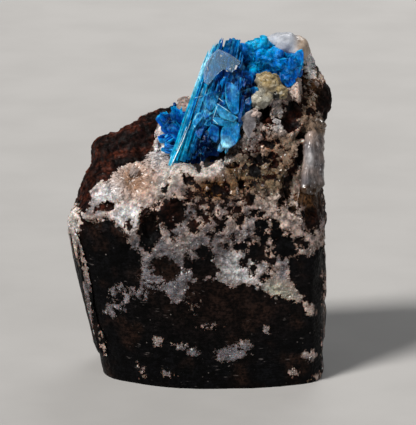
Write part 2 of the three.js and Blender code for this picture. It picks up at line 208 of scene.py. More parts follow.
class Surface:
    """A closed mesh of quads, in mm, that can be smoothed and moved along its normals."""

    def __init__(self, points, faces):
        self.points, self.faces = points, faces
        pairs = np.concatenate([faces[:, [i, (i + 1) % 4]] for i in range(4)])
        self.pairs = np.unique(np.sort(pairs, axis=1), axis=0)
        self.degree = np.bincount(self.pairs.ravel(), minlength=len(points)).astype(float)

    def spread(self, values, steps, strength=0.6):
        """Values averaged with their neighbours', a number of times."""
        flat = values.reshape(len(values), -1)
        a, b = self.pairs.T
        for _ in range(steps):
            around = np.stack(
                [
                    np.bincount(a, column[b], len(flat)) + np.bincount(b, column[a], len(flat))
                    for column in flat.T
                ],
                1,
            )
            flat = flat + strength * (around / self.degree[:, None] - flat)
        return flat.reshape(values.shape)

    def normals(self, steps=0):
        """The directions in which the surface faces, smoothed by a number of steps."""
        corners = self.points[self.faces]
        face = np.cross(corners[:, 2] - corners[:, 0], corners[:, 3] - corners[:, 1])
        total = np.stack(
            [np.bincount(self.faces.ravel(), np.repeat(axis, 4), len(self.points)) for axis in face.T], 1
        )
        return unit(self.spread(unit(total), steps)) if steps else unit(total)

    def move(self, directions, distances):
        self.points = self.points + directions * distances[:, None]


def node_arrays(node):
    """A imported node's vertices, in mm, and triangles."""
    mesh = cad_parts[node].data
    points = np.empty(len(mesh.vertices) * 3)
    mesh.vertices.foreach_get("co", points)
    mesh.calc_loop_triangles()
    triangles = np.empty(len(mesh.loop_triangles) * 3, np.int32)
    mesh.loop_triangles.foreach_get("vertices", triangles)
    return points.reshape(-1, 3) / MM, triangles.reshape(-1, 3)


def new_object(name, data):
    """An object in the scene that shows a mesh, a light or a camera."""
    made = bpy.data.objects.new(name, data)
    bpy.context.scene.collection.objects.link(made)
    return made


def remeshed(node, voxel):
    """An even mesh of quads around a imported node's solid."""
    points, triangles = node_arrays(node)
    mesh = bpy.data.meshes.new("remesh")
    mesh.from_pydata(points.tolist(), [], triangles.tolist())
    source = new_object("remesh", mesh)
    modifier = source.modifiers.new("voxels", "REMESH")
    modifier.mode = "VOXEL"
    modifier.voxel_size = voxel
    result = source.evaluated_get(bpy.context.evaluated_depsgraph_get()).to_mesh()
    even = np.empty(len(result.vertices) * 3)
    result.vertices.foreach_get("co", even)
    faces = np.empty(len(result.loops), np.int32)
    result.loops.foreach_get("vertex_index", faces)
    bpy.data.objects.remove(source)
    bpy.data.meshes.remove(mesh)
    return Surface(even.reshape(-1, 3), faces.reshape(-1, 4))


def boxed(points):
    """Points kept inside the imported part's box."""
    low, high = (np.array(corner) / MM for corner in cad_box)
    return np.clip(points, low, high)


class Pile:
    """Chunks of mesh that become one object."""

    def __init__(self):
        self.points, self.blocks, self.looks, self.count = [], [], [], 0
        self.attributes = {}

    def add(self, points, faces, material=0, smooth=False, **attributes):
        """faces is a list of arrays, each of faces with the same number of corners."""
        for name, values in attributes.items():
            self.attributes.setdefault(name, []).append((self.count, np.asarray(values, float)))
        for block in faces:
            self.blocks.append(block + self.count)
            self.looks.append(np.tile([material, smooth], (len(block), 1)))
        self.points.append(points)
        self.count += len(points)

    def cover(self, surface, **attributes):
        """A smooth surface added whole."""
        self.add(surface.points, [surface.faces], smooth=True, **attributes)

    def repaint(self, change):
        """Tints changed by a function of points and tints."""
        points = np.concatenate(self.points)
        blocks = self.attributes["tint"]
        self.attributes["tint"] = [(i, change(points[i : i + len(tints)], tints)) for i, tints in blocks]

    def tree(self):
        """The faces added so far, to cast rays at."""
        faces = [face for block in self.blocks for face in block.tolist()]
        return BVHTree.FromPolygons(np.concatenate(self.points).tolist(), faces)

    def build(self, name, materials, slot, *nodes):
        """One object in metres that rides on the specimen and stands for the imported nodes."""
        points, looks = np.concatenate(self.points), np.concatenate(self.looks)
        corners = np.concatenate([block.ravel() for block in self.blocks])
        sizes = np.concatenate([np.full(len(block), block.shape[1]) for block in self.blocks])
        mesh = bpy.data.meshes.new(name)
        mesh.vertices.add(len(points))
        mesh.vertices.foreach_set("co", (boxed(points) * MM).ravel())
        mesh.loops.add(len(corners))
        mesh.loops.foreach_set("vertex_index", corners.astype(np.int32))
        mesh.polygons.add(len(sizes))
        starts = np.concatenate([[0], np.cumsum(sizes)[:-1]])
        mesh.polygons.foreach_set("loop_start", starts.astype(np.int32))
        mesh.polygons.foreach_set("material_index", looks[:, 0].astype(np.int32))
        mesh.polygons.foreach_set("use_smooth", looks[:, 1].astype(bool))
        mesh.update(calc_edges=True)
        for key, blocks in self.attributes.items():
            wide = blocks[0][1].ndim == 2
            values = np.zeros((len(points), 3) if wide else len(points))
            for start, block in blocks:
                values[start : start + len(block)] = block
            kind, part = ("FLOAT_VECTOR", "vector") if wide else ("FLOAT", "value")
            mesh.attributes.new(key, kind, "POINT").data.foreach_set(part, values.ravel())
        for material in materials:
            mesh.materials.append(material)
        piece = new_object(name, mesh)
        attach(piece, BODY)
        if nodes:
            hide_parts(*nodes)
        return piece


# ---- colours ----


def linear(*channels):
    """A colour given as 0 to 255 on screen, as the renderer reads it."""
    return tuple((channel / 255) ** 2.2 for channel in channels)


BASALT = linear(10, 10, 11)
BROWN_BASALT = linear(25, 18, 15)
RUST = linear(52, 27, 20)
OCHRE = linear(84, 60, 40)
RED_BROWN = linear(30, 15, 11)
GREY_ZEOLITE = linear(98, 94, 97)
WHITE_ZEOLITE = linear(184, 180, 180)
PINK_ZEOLITE = linear(156, 139, 131)
TAN_ZEOLITE = linear(138, 104, 82)
CREAM = linear(172, 163, 157)
FIBROUS = linear(170, 152, 136)
FRINGE = linear(200, 168, 144)  # by which thin zeolite is darker and browner
# the colour of the glints painted on zeolite grains
PAINTED_GLINT = linear(225, 222, 218)
# pale flecks of the basalt, partly painted glints, and its painted sheen along the saw lines
SPECK_AND_SHEEN = linear(120, 112, 108)
CLEAR_BLUE = linear(168, 218, 248)
FROST = linear(214, 230, 248)
STAIN = linear(98, 70, 40)
OLIVE_ZEOLITE = linear(88, 74, 58)
ASH_ZEOLITE = linear(80, 74, 74)
WALL_ZEOLITE = linear(116, 98, 84)
# near-black: painted shadow in the hollow under the sheaf and in the gap across the honey crystals, and
# darker rock on the right wall
SHADOW_AND_DARK_ROCK = linear(20, 17, 16)
LILAC_WHITE = linear(160, 164, 172)
HONEY_PALE = linear(168, 162, 146)
HONEY_DEEP = linear(156, 134, 92)

NAVY = linear(0, 22, 62)
BLUE = linear(0, 60, 136)
AZURE = linear(0, 100, 172)
CYAN = linear(10, 156, 202)
ICE = linear(158, 220, 242)
# the colour of the painted highlights along the sheaf's edges
PAINTED_EDGE_HIGHLIGHT = linear(196, 228, 240)
HAZE = linear(96, 172, 200)
TEAL = linear(18, 104, 142)

# ---- where the photograph shows what: corners, or ellipses as px, py, rx, ry and tilt ----

# bare basalt amid the pale mineral; at the gap below the honey, the cavity beside it and the gash by the
# column they also stand for painted shade
DARK_ISLANDS = [
    (104, 252, 27, 33, 0), (130, 268, 14, 20, 0), (92, 300, 14, 40, 10), (150, 228, 11, 21, 0),
    (173, 213, 13, 16, 0), (166, 267, 13, 11, 20), (203, 268, 14, 12, 0), (249, 198, 6, 8, 0),
    (241, 185, 3, 5, 30), (256, 214, 7, 4, 0), (261, 222, 6, 4, 0), (260, 234, 8, 6, 0),
    (257, 252, 10, 10, 0), (275, 228, 4, 7, 0), (284, 246, 9, 14, -20), (299, 242, 7, 4, 20),
    (296, 268, 8, 12, -20), (317, 270, 8, 24, 0), (229, 236, 6, 4, 0), (226, 244, 5, 2.5, 0),
    (239, 246, 6, 2.5, 0), (212, 236, 4, 4, 0), (219, 226, 5, 6, 0), (203, 252, 8, 5, 0),
    (226, 192, 4, 9, 0), (253, 271, 3, 4, 0), (262, 276, 4, 2.5, 0), (236, 209, 5, 3, 0),
    (254, 172, 6, 7, 0), (233, 166, 5, 3, -20), (251, 184, 2, 4, 0), (282, 192, 4, 15, 8),
    (296, 162, 3.5, 27, 25), (291, 208, 4, 4, 0), (310, 215, 9, 18, 0), (190, 181, 3, 8, -40),
    (165, 192, 2, 6, 20), (276, 95, 8, 3, 30), (266, 118, 5, 10, -15), (291, 119, 11, 13, 20),
    (322, 98, 9, 16, 0), (318, 78, 8, 7, 0), (129, 226, 3, 4, 0), (104, 208, 9, 4, -10),
    (304, 199, 9, 10, 0), (188, 262, 4, 7, 0), (243, 262, 4, 3, 0), (271, 262, 3, 5, 20),
    (176, 236, 4, 3, 0), (192, 226, 5, 4, 30), (206, 218, 4, 6, 0), (240, 222, 4, 5, 0),
    (160, 281, 5, 3, 0),
]
NETWORK = [
    (128, 226), (129, 242), (138, 252), (142, 262), (136, 276), (112, 290), (108, 303), (116, 316),
    (128, 308), (134, 297), (147, 298), (150, 290), (166, 290), (172, 300), (182, 303), (186, 292),
    (190, 283), (205, 278), (217, 279), (232, 286), (240, 281), (252, 283), (262, 290), (272, 294),
    (285, 297), (300, 303), (312, 314), (313, 308), (303, 298), (297, 285), (290, 280), (288, 262),
    (303, 255), (310, 252), (324, 240), (324, 222), (305, 205), (300, 165), (240, 150), (172, 170),
    (150, 200),
]
RUSTY_RIDGE = [
    (50, 218), (80, 218), (91, 200), (91, 187), (98, 179), (106, 181), (114, 172), (121, 169), (131, 165),
    (145, 160), (152, 150), (155, 137), (149, 125), (170, 100), (100, 80), (50, 80),
]
CREAM_RIM = [
    (165, 172), (175, 163), (186, 163), (198, 166), (210, 163), (219, 158), (228, 157), (233, 160),
    (227, 166), (219, 173), (210, 177), (198, 177), (184, 174), (176, 182), (168, 192), (160, 197),
    (158, 186),
]
PALE_PATCHES = [
    (74, 217, 8, 17, -8), (307, 49, 6, 18, -24), (309, 64, 6.5, 17, -10), (315, 84, 4, 3, 30),
    (307, 104, 7, 18, 4), (322, 79, 5, 7, 0), (284, 98, 9, 8, 0), (277, 112, 7, 6, 0),
    # the long thin strip at the right edge is a pale skin and partly a painted edge highlight
    (324.5, 312, 1.6, 62, 0), (321, 83, 3, 3, 0), (313, 97, 3, 2, 0), (310, 124, 12, 15, 0),
    (232, 352, 15, 7, -5), (245, 344, 6, 5, 0), (194, 351, 8, 4, 20), (183, 346, 5, 3, 30),
    (308, 355, 8, 4, 0), (310, 309, 5, 6, 30), (293, 370, 4, 4, 0), (267, 328, 3, 3, 0),
    (157, 340, 4, 4, 0), (168, 372, 4, 2, 20), (142, 370, 3, 6, -30), (316, 376, 4, 2, -20),
    (114, 311, 8, 5, 0), (194, 300, 5, 8, 0), (208, 324, 7, 2, 0),
]
PALE_TINTS = [
    (125, 300, 60, 30, 0, GREY_ZEOLITE), (165, 275, 45, 35, 0, GREY_ZEOLITE), (74, 220, 12, 24, 0, CREAM),
    (140, 186, 34, 26, -25, PINK_ZEOLITE), (135, 182, 15, 15, -25, TAN_ZEOLITE),
    (106, 196, 14, 11, -10, WHITE_ZEOLITE), (128, 216, 18, 12, 0, WHITE_ZEOLITE),
    (160, 145, 9, 18, 0, WHITE_ZEOLITE), (232, 168, 8, 6, -30, STAIN), (244, 180, 14, 9, 0, STAIN),
    (262, 160, 32, 30, 0, OLIVE_ZEOLITE), (292, 92, 14, 10, 0, PINK_ZEOLITE),
    (307, 104, 9, 18, 0, OLIVE_ZEOLITE), (321, 80, 6, 9, 0, TAN_ZEOLITE),
    (280, 124, 8, 12, 0, WHITE_ZEOLITE), (258, 148, 14, 14, 0, GREY_ZEOLITE),
    (273, 148, 14, 10, 0, TAN_ZEOLITE), (285, 222, 34, 20, 38, PINK_ZEOLITE),
    (232, 265, 12, 12, 0, WHITE_ZEOLITE), (278, 290, 14, 8, 20, HONEY_PALE), (308, 56, 10, 30, -12, CREAM),
    # the near-black spot under the sheaf is painted shadow in the hollow
    (210, 150, 24, 10, 0, SHADOW_AND_DARK_ROCK), (268, 176, 26, 22, 0, OLIVE_ZEOLITE), (216, 190, 26, 12, 0, STAIN),
    (309, 62, 8, 17, -8, WHITE_ZEOLITE), (220, 350, 70, 14, 0, GREY_ZEOLITE),
    (208, 250, 22, 16, 0, ASH_ZEOLITE), (246, 272, 14, 12, 0, WHITE_ZEOLITE),
    (309, 122, 13, 16, 0, WALL_ZEOLITE), (284, 150, 14, 20, 20, WALL_ZEOLITE),
]
ROCK_TINTS = [
    (304, 198, 14, 13, 0, OCHRE), (316, 216, 10, 16, 0, RED_BROWN), (104, 208, 12, 5, 0, RUST),
    # the near-black spot darkens the top of the right wall
    (318, 92, 14, 30, 0, SHADOW_AND_DARK_ROCK), (312, 86, 6, 14, 0, OCHRE),
    (225, 300, 60, 30, 0, BROWN_BASALT), (200, 205, 30, 20, 0, BROWN_BASALT),
]
SALT_AND_PEPPER = [
    (212, 202, 34, 24, 0), (262, 158, 30, 36, 0), (306, 104, 10, 18, 0), (205, 300, 20, 22, 0),
    (128, 300, 32, 16, 0), (258, 246, 20, 14, 0),
]


AMYGDALE_SPACING = 4.6  # mm


def front_share(normals):
    """1 on what faces the photograph, and 0 at the sides and the back."""
    facing = normals[:, 2] * math.sin(ELEVATION) - normals[:, 1] * math.cos(ELEVATION)
    return smoothstep(-0.05, 0.3, facing)


def in_rim(pixels, low, high):
    """From 0 to 1 as pixels lie from low to high inside the cream rim, in mm."""
    return smoothstep(low, high, polygon_depth(pixels, CREAM_RIM))


def dark_depth(pixels):
    """How far inside a dark island pixels lie, in mm."""
    return deepest(pixels, DARK_ISLANDS)


def amygdales(points, seed):
    """Round pale fillings of old gas holes: how far inside one points lie, in mm."""
    first, _, owner = cellular(points, AMYGDALE_SPACING, seed)
    radius = 0.08 + 0.22 * ((owner % 97) / 97) ** 2
    return (radius - first) * AMYGDALE_SPACING


def peppered(depth, points, pixels):
    """A depth that hovers about zero, so that grains of rock and mineral mingle, in the peppered places."""
    pepper = strongest(pixels, SALT_AND_PEPPER) * (1 - in_rim(pixels, -0.4, 0))
    mingled = np.minimum(depth, 0.5 * fractal(points, 1.0, 4, 35) - 0.03)
    return depth + np.clip(1.3 * pepper, 0, 1) * (mingled - depth)


def pale_depth_on_rock(points, pixels, front):
    """How far inside pale mineral points of the rock lie, in mm, and below zero on bare rock."""
    wobble = 0.26 * fractal(points, 1.5, 4, 31)
    patches = deepest(pixels, PALE_PATCHES) + wobble
    network = np.minimum(polygon_depth(pixels, NETWORK), -dark_depth(pixels)) + 1.4 * wobble
    seen_pale = peppered(np.maximum(network, patches), points, pixels)
    veins = 0.08 - 0.9 * np.abs(fractal(points, 7.5, 3, 33)) + 0.1 * perlin(points / 2.5, 34)
    unseen_pale = np.maximum(amygdales(points, 35) + 0.5 * wobble, veins) - 0.24
    return seen_pale * front + unseen_pale * (1 - front)


def tinted(base, tints, strength, pixels, front):
    """Colours moved towards those of soft spots, where they face the photograph."""
    for *spot, colour in tints:
        base = mixed(base, colour, strength * soft_spot(pixels, *spot) * front)
    return base


def rock_colours(points, pixels, front):
    """Dark basalt, browner in places and rusty where its upper surface has weathered."""
    base = mixed(BASALT, BROWN_BASALT, smoothstep(0, 0.7, fractal(points, 4, 3, 41)))
    height = points[:, 2] + 1.6 * fractal(points, 2.6, 3, 43) - 0.35 * np.maximum(points[:, 0], 0)
    rusty = 0.12 + 0.88 * smoothstep(-0.25, 0.3, fractal(points, 1.8, 4, 44))
    weathered = smoothstep(16.5, 21, height) * rusty
    outside = np.maximum(smoothstep(-0.6, 0.4, polygon_depth(pixels, RUSTY_RIDGE)), 1 - front)
    base = mixed(base, RUST, weathered * outside)
    base = mixed(base, RED_BROWN, 0.8 * weathered * (1 - outside))
    return tinted(base, ROCK_TINTS, 0.8, pixels, front)


def pale_colours(points, pixels, front):
    """Zeolite, from grey and white to pink, tan and cream."""
    base = mixed(PINK_ZEOLITE, GREY_ZEOLITE, smoothstep(-0.2, 0.6, fractal(points, 2.2, 3, 51)))
    base = tinted(base, PALE_TINTS, 1.25, pixels, front)
    base = mixed(base, CREAM, in_rim(pixels, -0.25, 0.2) * front)
    return base * (1 + 0.3 * fractal(points, 0.7, 3, 53))[:, None]


# ---- materials ----


MIX_COLOURS = (6, 7)  # the Mix node's colour sockets
MIX_RESULT = 2


class Shader:
    """A material whose nodes are added one by one."""

    def __init__(self, name, **surface):
        self.material = bpy.data.materials.new(name)
        self.material.use_nodes = True
        self.tree = self.material.node_tree
        self.surface = self.tree.nodes["Principled BSDF"]
        self.place = self.node("TexCoord").outputs["Object"]
        for key, value in surface.items():
            self.surface.inputs[key.replace("_", " ")].default_value = value

    def feed(self, socket, value):
        """An input linked to an output, or set to a value."""
        if isinstance(value, bpy.types.NodeSocket):
            self.tree.links.new(value, socket)
        else:
            socket.default_value = value

    def node(self, kind, inputs=None, **settings):
        """A shader node of a kind, whose settings come before its inputs are fed."""
        made = self.tree.nodes.new("ShaderNode" + kind)
        for key, value in settings.items():
            setattr(made, key, value)
        for key, value in (inputs or {}).items():
            self.feed(made.inputs[key], value)
        return made

    def attribute(self, name, output="Fac"):
        """What the mesh says at each of its points."""
        return self.node("Attribute", attribute_name=name).outputs[output]

    def math(self, operation, a, b):
        return self.node("Math", {0: a, 1: b}, operation=operation).outputs[0]

    def noise(self, size, detail=3.0, place=None):
        """Noise from 0 to 1 with features of a size in mm (for a place that is in metres)."""
        inputs = {"Vector": place or self.place, "Scale": 1 / (size * MM), "Detail": detail}
        return self.node("TexNoise", inputs).outputs["Fac"]

    def grains(self, size, output="Distance", feature="F1"):
        """Cells of a size in mm: the distance from their middles or edges, or a value for each."""
        inputs = {"Vector": self.place, "Scale": 1 / (size * MM)}
        return self.node("TexVoronoi", inputs, feature=feature).outputs[output]

    def span(self, value, low, high, to_low=0.0, to_high=1.0):
        """A value's range mapped smoothly to another."""
        inputs = {"Value": value, "From Min": low, "From Max": high, "To Min": to_low, "To Max": to_high}
        return self.node("MapRange", inputs, interpolation_type="SMOOTHSTEP").outputs["Result"]

    def clouds(self, size, detail, low, high, to_low=0.0, to_high=1.0):
        """Noise with features of a size in mm, whose range is mapped to another."""
        return self.span(self.noise(size, detail), low, high, to_low, to_high)

    def product(self, *factors):
        """Numbers multiplied together."""
        result = factors[0]
        for factor in factors[1:]:
            result = self.math("MULTIPLY", result, factor)
        return result

    def mix(self, share, a, b, blend="MIX"):
        """A colour between two, or with another blend, theirs together."""
        made = self.node("Mix", {"Factor": share}, data_type="RGBA", blend_type=blend)
        for socket, value in zip(MIX_COLOURS, (a, b)):
            self.feed(made.inputs[socket], (*value, 1.0) if isinstance(value, tuple) else value)
        return made.outputs[MIX_RESULT]

    def shade(self, colour, amount):
        """A colour multiplied by a number."""
        return self.node("VectorMath", {0: colour, "Scale": amount}, operation="SCALE").outputs[0]

    def bump(self, height, distance, strength=1.0, under=None):
        """Normals bent as by a relief, whose distance is in mm, over other bumps if any."""
        inputs = {"Height": height, "Distance": distance * MM, "Strength": strength}
        if under:
            inputs["Normal"] = under
        return self.node("Bump", inputs).outputs["Normal"]

    def finish(self, colour, roughness, normal=None):
        """The material, once its surface has its looks."""
        self.feed(self.surface.inputs["Base Color"], colour)
        self.feed(self.surface.inputs["Roughness"], roughness)
        if normal:
            self.feed(self.surface.inputs["Normal"], normal)
        return self.material


def granular_zeolite(look, depth):
    """Small grains with painted glints, darker and browner where the mineral is thin."""
    cell = look.span(look.grains(0.24, "Color"), 0.15, 0.85, 0.78, 1.18)
    gaps = look.span(look.grains(0.24, feature="DISTANCE_TO_EDGE"), 0, 0.12, 0.84, 1)
    shade = look.product(cell, gaps, look.clouds(0.8, 6, 0.36, 0.64, 0.5, 1.4))
    pale = look.shade(look.attribute("pale_colour", "Vector"), shade)
    pale = look.mix(look.clouds(0.7, 4, 0.55, 0.72, 0, 0.55), pale, look.shade(pale, 0.4))
    pale = look.mix(look.span(depth, 0.03, 0.26, 0.75, 0), pale, look.mix(1.0, pale, FRINGE, "MULTIPLY"))
    # painted glints: a few bright grains lightened towards white
    bright_grains = look.span(look.grains(0.2, "Color"), 0.86, 0.9)
    painted_glints = look.product(bright_grains, look.clouds(1.1, 3, 0.5, 0.6), 0.6)
    return look.mix(painted_glints, pale, PAINTED_GLINT)


def mottled_basalt(look, saw_lines):
    """Dark rock with pale flecks that are partly painted glints, and pale lines along its saw lines that are
    partly saw marks and partly painted sheen.
    """
    blotches = look.math("ADD", look.noise(0.34, 6), look.product(saw_lines, 0.5))
    blotches = look.span(blotches, 0.36, 0.66, 0.3, 2.0)
    mottle = look.product(blotches, look.clouds(1.3, 3, 0.36, 0.62, 0.4, 1.5))
    dark = look.shade(look.attribute("rock_colour", "Vector"), mottle)
    # pale flecks, partly painted glints, and pale saw lines, partly painted sheen
    few = look.span(look.grains(0.3, "Color"), 0.8, 0.9)
    middles = look.span(look.grains(0.3), 0.15, 0.35, 1, 0)
    specks_and_glints = look.product(few, middles, look.clouds(2.4, 4, 0.5, 0.62, 0.04, 0.7))
    saw_marks_and_sheen = look.product(look.span(saw_lines, 0.14, 0.2), look.clouds(1.7, 3, 0.5, 0.6, 0, 0.3))
    return look.mix(look.math("MAXIMUM", specks_and_glints, saw_marks_and_sheen), dark, SPECK_AND_SHEEN)


def matrix_material():
    """Basalt where the mesh's pale value is below zero, and granular zeolite where it is above."""
    look = Shader("basalt_and_zeolite", Specular_IOR_Level=0.05, Subsurface_Scale=0.5 * MM)
    coarse = look.clouds(0.55, 5, 0.3, 0.7, -0.3, 0.3)
    ragged = look.math("ADD", coarse, look.clouds(0.17, 2, 0.3, 0.7, -0.14, 0.14))
    depth = look.math("ADD", look.attribute("pale"), ragged)
    share = look.span(depth, -0.02, 0.04)
    look.feed(look.surface.inputs["Subsurface Weight"], look.product(share, 0.45))
    along_saw = look.node("Mapping", {"Vector": look.place, "Scale": (0.16, 0.3, 1.0)}).outputs[0]
    lines = look.math("SUBTRACT", look.noise(0.2, 4, along_saw), 0.5)
    saw_lines = look.product(lines, look.attribute("sawn"))
    colour = look.mix(share, mottled_basalt(look, saw_lines), granular_zeolite(look, depth))
    rock_bump = look.bump(saw_lines, 0.05, 1.0, look.bump(look.noise(0.26, 5), 0.1, 0.8))
    uneven = look.clouds(0.3, 3, 0.3, 0.7, -0.14, 0.16)
    roughness = look.math("ADD", look.span(share, 0, 1, 0.5, 0.36), uneven)
    return look.finish(colour, roughness, look.bump(look.grains(0.24), 0.07, share, rock_bump))


def zeolite_material():
    """Small clear to milky crystals, tinted by the mesh."""
    look = Shader(
        "zeolite_crystals", Subsurface_Weight=0.2, Subsurface_Scale=0.6 * MM, Specular_IOR_Level=0.5
    )
    look.surface.inputs["Subsurface Radius"].default_value = (1.0, 0.85, 0.7)
    clouds = look.clouds(0.3, 3, 0.3, 0.7, 0.78, 1.18)
    colour = look.shade(look.attribute("tint", "Vector"), clouds)
    return look.finish(colour, look.clouds(0.2, 3, 0.3, 0.7, 0.12, 0.42), look.bump(look.noise(0.12), 0.015))


def cavansite_material():
    """Blue blades, tinted by the mesh, with fine streaks along them and painted glints."""
    look = Shader("cavansite", Specular_IOR_Level=0.07, Subsurface_Weight=0.35, Subsurface_Scale=0.8 * MM)
    look.surface.inputs["Subsurface Radius"].default_value = (0.1, 0.6, 1.0)
    along = look.attribute("streak", "Vector")
    streaks = look.noise(0.16 / MM, 3, along)
    shade = look.product(look.span(streaks, 0.3, 0.7, 0.7, 1.3), look.clouds(0.6, 4, 0.34, 0.66, 0.65, 1.35))
    colour = look.shade(look.attribute("tint", "Vector"), shade)
    fine = look.noise(0.08 / MM, 2, along)
    # painted glints: icy flecks along the streaks
    glints = look.product(look.span(fine, 0.64, 0.72), look.clouds(1.1, 2, 0.5, 0.62, 0, 0.4))
    frosted = look.mix(0.4, look.shade(colour, 2.0), HAZE)
    colour = look.mix(look.clouds(0.5, 5, 0.5, 0.7, 0, 0.5), colour, frosted)
    roughness = look.span(streaks, 0.3, 0.7, 0.38, 0.14)
    return look.finish(look.mix(glints, colour, ICE), roughness, look.bump(streaks, 0.03))


def milky_material(name, clouds_size, **surface):
    """A milky mineral that light enters, tinted by the mesh."""
    look = Shader(name, Subsurface_Weight=0.5, Subsurface_Scale=1.2 * MM, **surface)
    look.surface.inputs["Subsurface Radius"].default_value = (1.0, 0.9, 0.8)
    colour = look.shade(look.attribute("tint", "Vector"), look.clouds(clouds_size, 4, 0.3, 0.7, 0.82, 1.1))
    roughness = look.clouds(0.25, 3, 0.35, 0.65, 0.2, 0.55)
    return look.finish(colour, roughness, look.bump(look.noise(0.2, 3), 0.03))


def glassy_material():
    """Clear laths with streaks along them."""
    look = Shader("glassy_laths", Transmission_Weight=0.35, IOR=1.5)
    streaks = look.noise(0.3 / MM, 4, look.attribute("streak", "Vector"))
    colour = look.shade(look.attribute("tint", "Vector"), look.span(streaks, 0.3, 0.7, 0.6, 1.35))
    return look.finish(colour, look.span(streaks, 0.3, 0.7, 0.3, 0.1), look.bump(streaks, 0.03))


def clear_material():
    """A see-through plate, frosted towards its rim and along faint cracks."""
    look = Shader("clear_plate", Transmission_Weight=0.86, IOR=1.5)
    cracks = look.span(look.grains(1.3, feature="DISTANCE_TO_EDGE"), 0, 0.05, 0.6, 0)
    frost = look.math("MAXIMUM", look.math("POWER", look.attribute("rim"), 2.0), cracks)
    frost = look.math("MAXIMUM", frost, look.clouds(1.2, 5, 0.45, 0.7, 0.0, 0.8))
    roughness = look.span(frost, 0, 1, 0.03, 0.4)
    return look.finish(look.mix(frost, CLEAR_BLUE, FROST), roughness, look.bump(look.noise(0.5, 4), 0.02))


# ---- the rock ----

ROCK_VOXEL = 0.21
CRUST_VOXEL = 0.15
ROCK_BUMPS = [  # size, height, seed, whether ridged
    (2.6, 0.34, 61, False), (1.2, 0.22, 64, True), (0.55, 0.11, 67, True),
]
WORN_SPOTS = [  # an ellipse of the photograph, and the depth in mm by which the rock is worn there
    (128, 118, 22, 12, -22, 0.9), (74, 196, 9, 14, 0, 0.5), (192, 88, 10, 14, 0, 0.5),
    (99, 143, 11, 14, 0, -1.0),
]


def sawn_share(points):
    """1 on the sawn lower front and the smooth joint faces at the sides, 0 on broken rock."""
    x, y, z = points.T
    front = smoothstep(4, 7, -y) * (1 - smoothstep(12, 17, z))
    left = smoothstep(9, 11, -x) * (1 - smoothstep(15, 19, z))
    right = smoothstep(11.5, 13, x) * (1 - smoothstep(12, 17, z))
    return np.maximum(np.maximum(front, left), right)


def roughened_rock(rock):
    """Lumps, ledges and small pits on the broken faces, and little on the sawn ones."""
    pixels = seen(rock.points)
    for *spot, depth in WORN_SPOTS:
        rock.move(rock.normals(8), -depth * soft_spot(pixels, *spot))
    grip = smoothstep(0, 1.2, rock.points[:, 2])
    rough = 1 - 0.85 * sawn_share(rock.points)
    for size, height, seed, ridged in ROCK_BUMPS:
        bumps = height * fractal(rock.points, size, 2, seed, ridged)
        rock.move(rock.normals(2), bumps * rough * grip)
    first, _, owner = cellular(rock.points, 1.7, 70)
    hole = smoothstep(0, 0.2, 0.1 + 0.12 * (owner % 31) / 31 - first)
    rock.move(rock.normals(2), -0.3 * hole * (0.35 + 0.65 * rough) * grip)


def hollowness(surface, steps):
    """How far each point lies below the points around it, in mm."""
    around = surface.spread(surface.points, steps)
    return ((around - surface.points) * surface.normals(steps)).sum(1)


def paint(surface, pale):
    """The attributes that the matrix material reads, with painted shade: hollows are darker, and ridges
    lighter.
    """
    normals = surface.normals(6)
    pixels, front = seen(surface.points), front_share(normals)
    # painted shade in hollows and painted light on ridges, multiplied into both colours
    fine, broad = hollowness(surface, 4), hollowness(surface, 16)
    shade = 1 - 1.9 * np.clip(fine, -0.12, 0.3) - 0.9 * np.clip(broad, -0.2, 0.45)
    shade = np.clip(shade, 0.2, 1.5)[:, None]
    return {
        "pale": pale,
        "pale_colour": pale_colours(surface.points, pixels, front) * shade,
        "rock_colour": rock_colours(surface.points, pixels, front) * shade,
        "sawn": sawn_share(surface.points),
    }


def painted_piece(surface, pale, name, slot, node):
    """A surface made into a piece of rock and pale mineral, whose pale colours, with their painted shade,
    are given back.
    """
    painted = paint(surface, pale)
    pile = Pile()
    pile.cover(surface, **painted)
    pile.build(name, [MATRIX], slot, node)
    return painted["pale_colour"]


def basalt():
    """The block, with pale mineral that stands out a little where it fills holes and cracks."""
    rock = remeshed("basalt_matrix", ROCK_VOXEL)
    base = rock.points[:, 2] < 0.2
    rock.points = rock.spread(rock.points, 14)
    roughened_rock(rock)
    pale = pale_depth_on_rock(rock.points, seen(rock.points), front_share(rock.normals(6)))
    filled = smoothstep(-0.15, 0.25, pale) * smoothstep(0, 1.5, rock.points[:, 2])
    grain = 0.5 - cellular(rock.points, 0.55, 71)[0]
    rock.move(rock.normals(2), filled * (0.1 + 0.16 * grain))
    rock.points[:, 2] = np.where(base, 0, np.maximum(rock.points[:, 2], 0))
    return rock, pale, painted_piece(rock, pale, "basalt_block", "basalt", "basalt_matrix")


def tree_of(surface):
    """A surface's faces, to search or to cast rays at."""
    return BVHTree.FromPolygons(surface.points.tolist(), surface.faces.tolist())


def nearest(tree, points):
    """The nearest places of a tree's surface, the normals there and the distances."""
    found = [tree.find_nearest(Vector(point)) for point in points.tolist()]
    places, normals, _, distances = zip(*found)
    return np.array(places), np.array(normals), np.array(distances)


def pale_depth_on_crust(points, pixels):
    """How far inside pale mineral points of the lining lie, in mm, and below zero on bare rock."""
    flecks = fractal(points, 0.8, 3, 81)
    bare = np.maximum(dark_depth(pixels), polygon_depth(pixels, RUSTY_RIDGE))
    return np.minimum(peppered(0.6 + 0.3 * flecks, points, pixels), 0.25 * flecks - bare)


RIM_LIFT = [  # pixels: across, up
    (166, 0), (178, 8), (186, 10), (192, 13), (197, 20), (200, 11), (204, 10), (209, 13), (216, 17),
    (224, 14), (238, 0),
]
OUTER_HEIGHT = 0.7  # mm, the most by which the lining stands out of the block's front and left


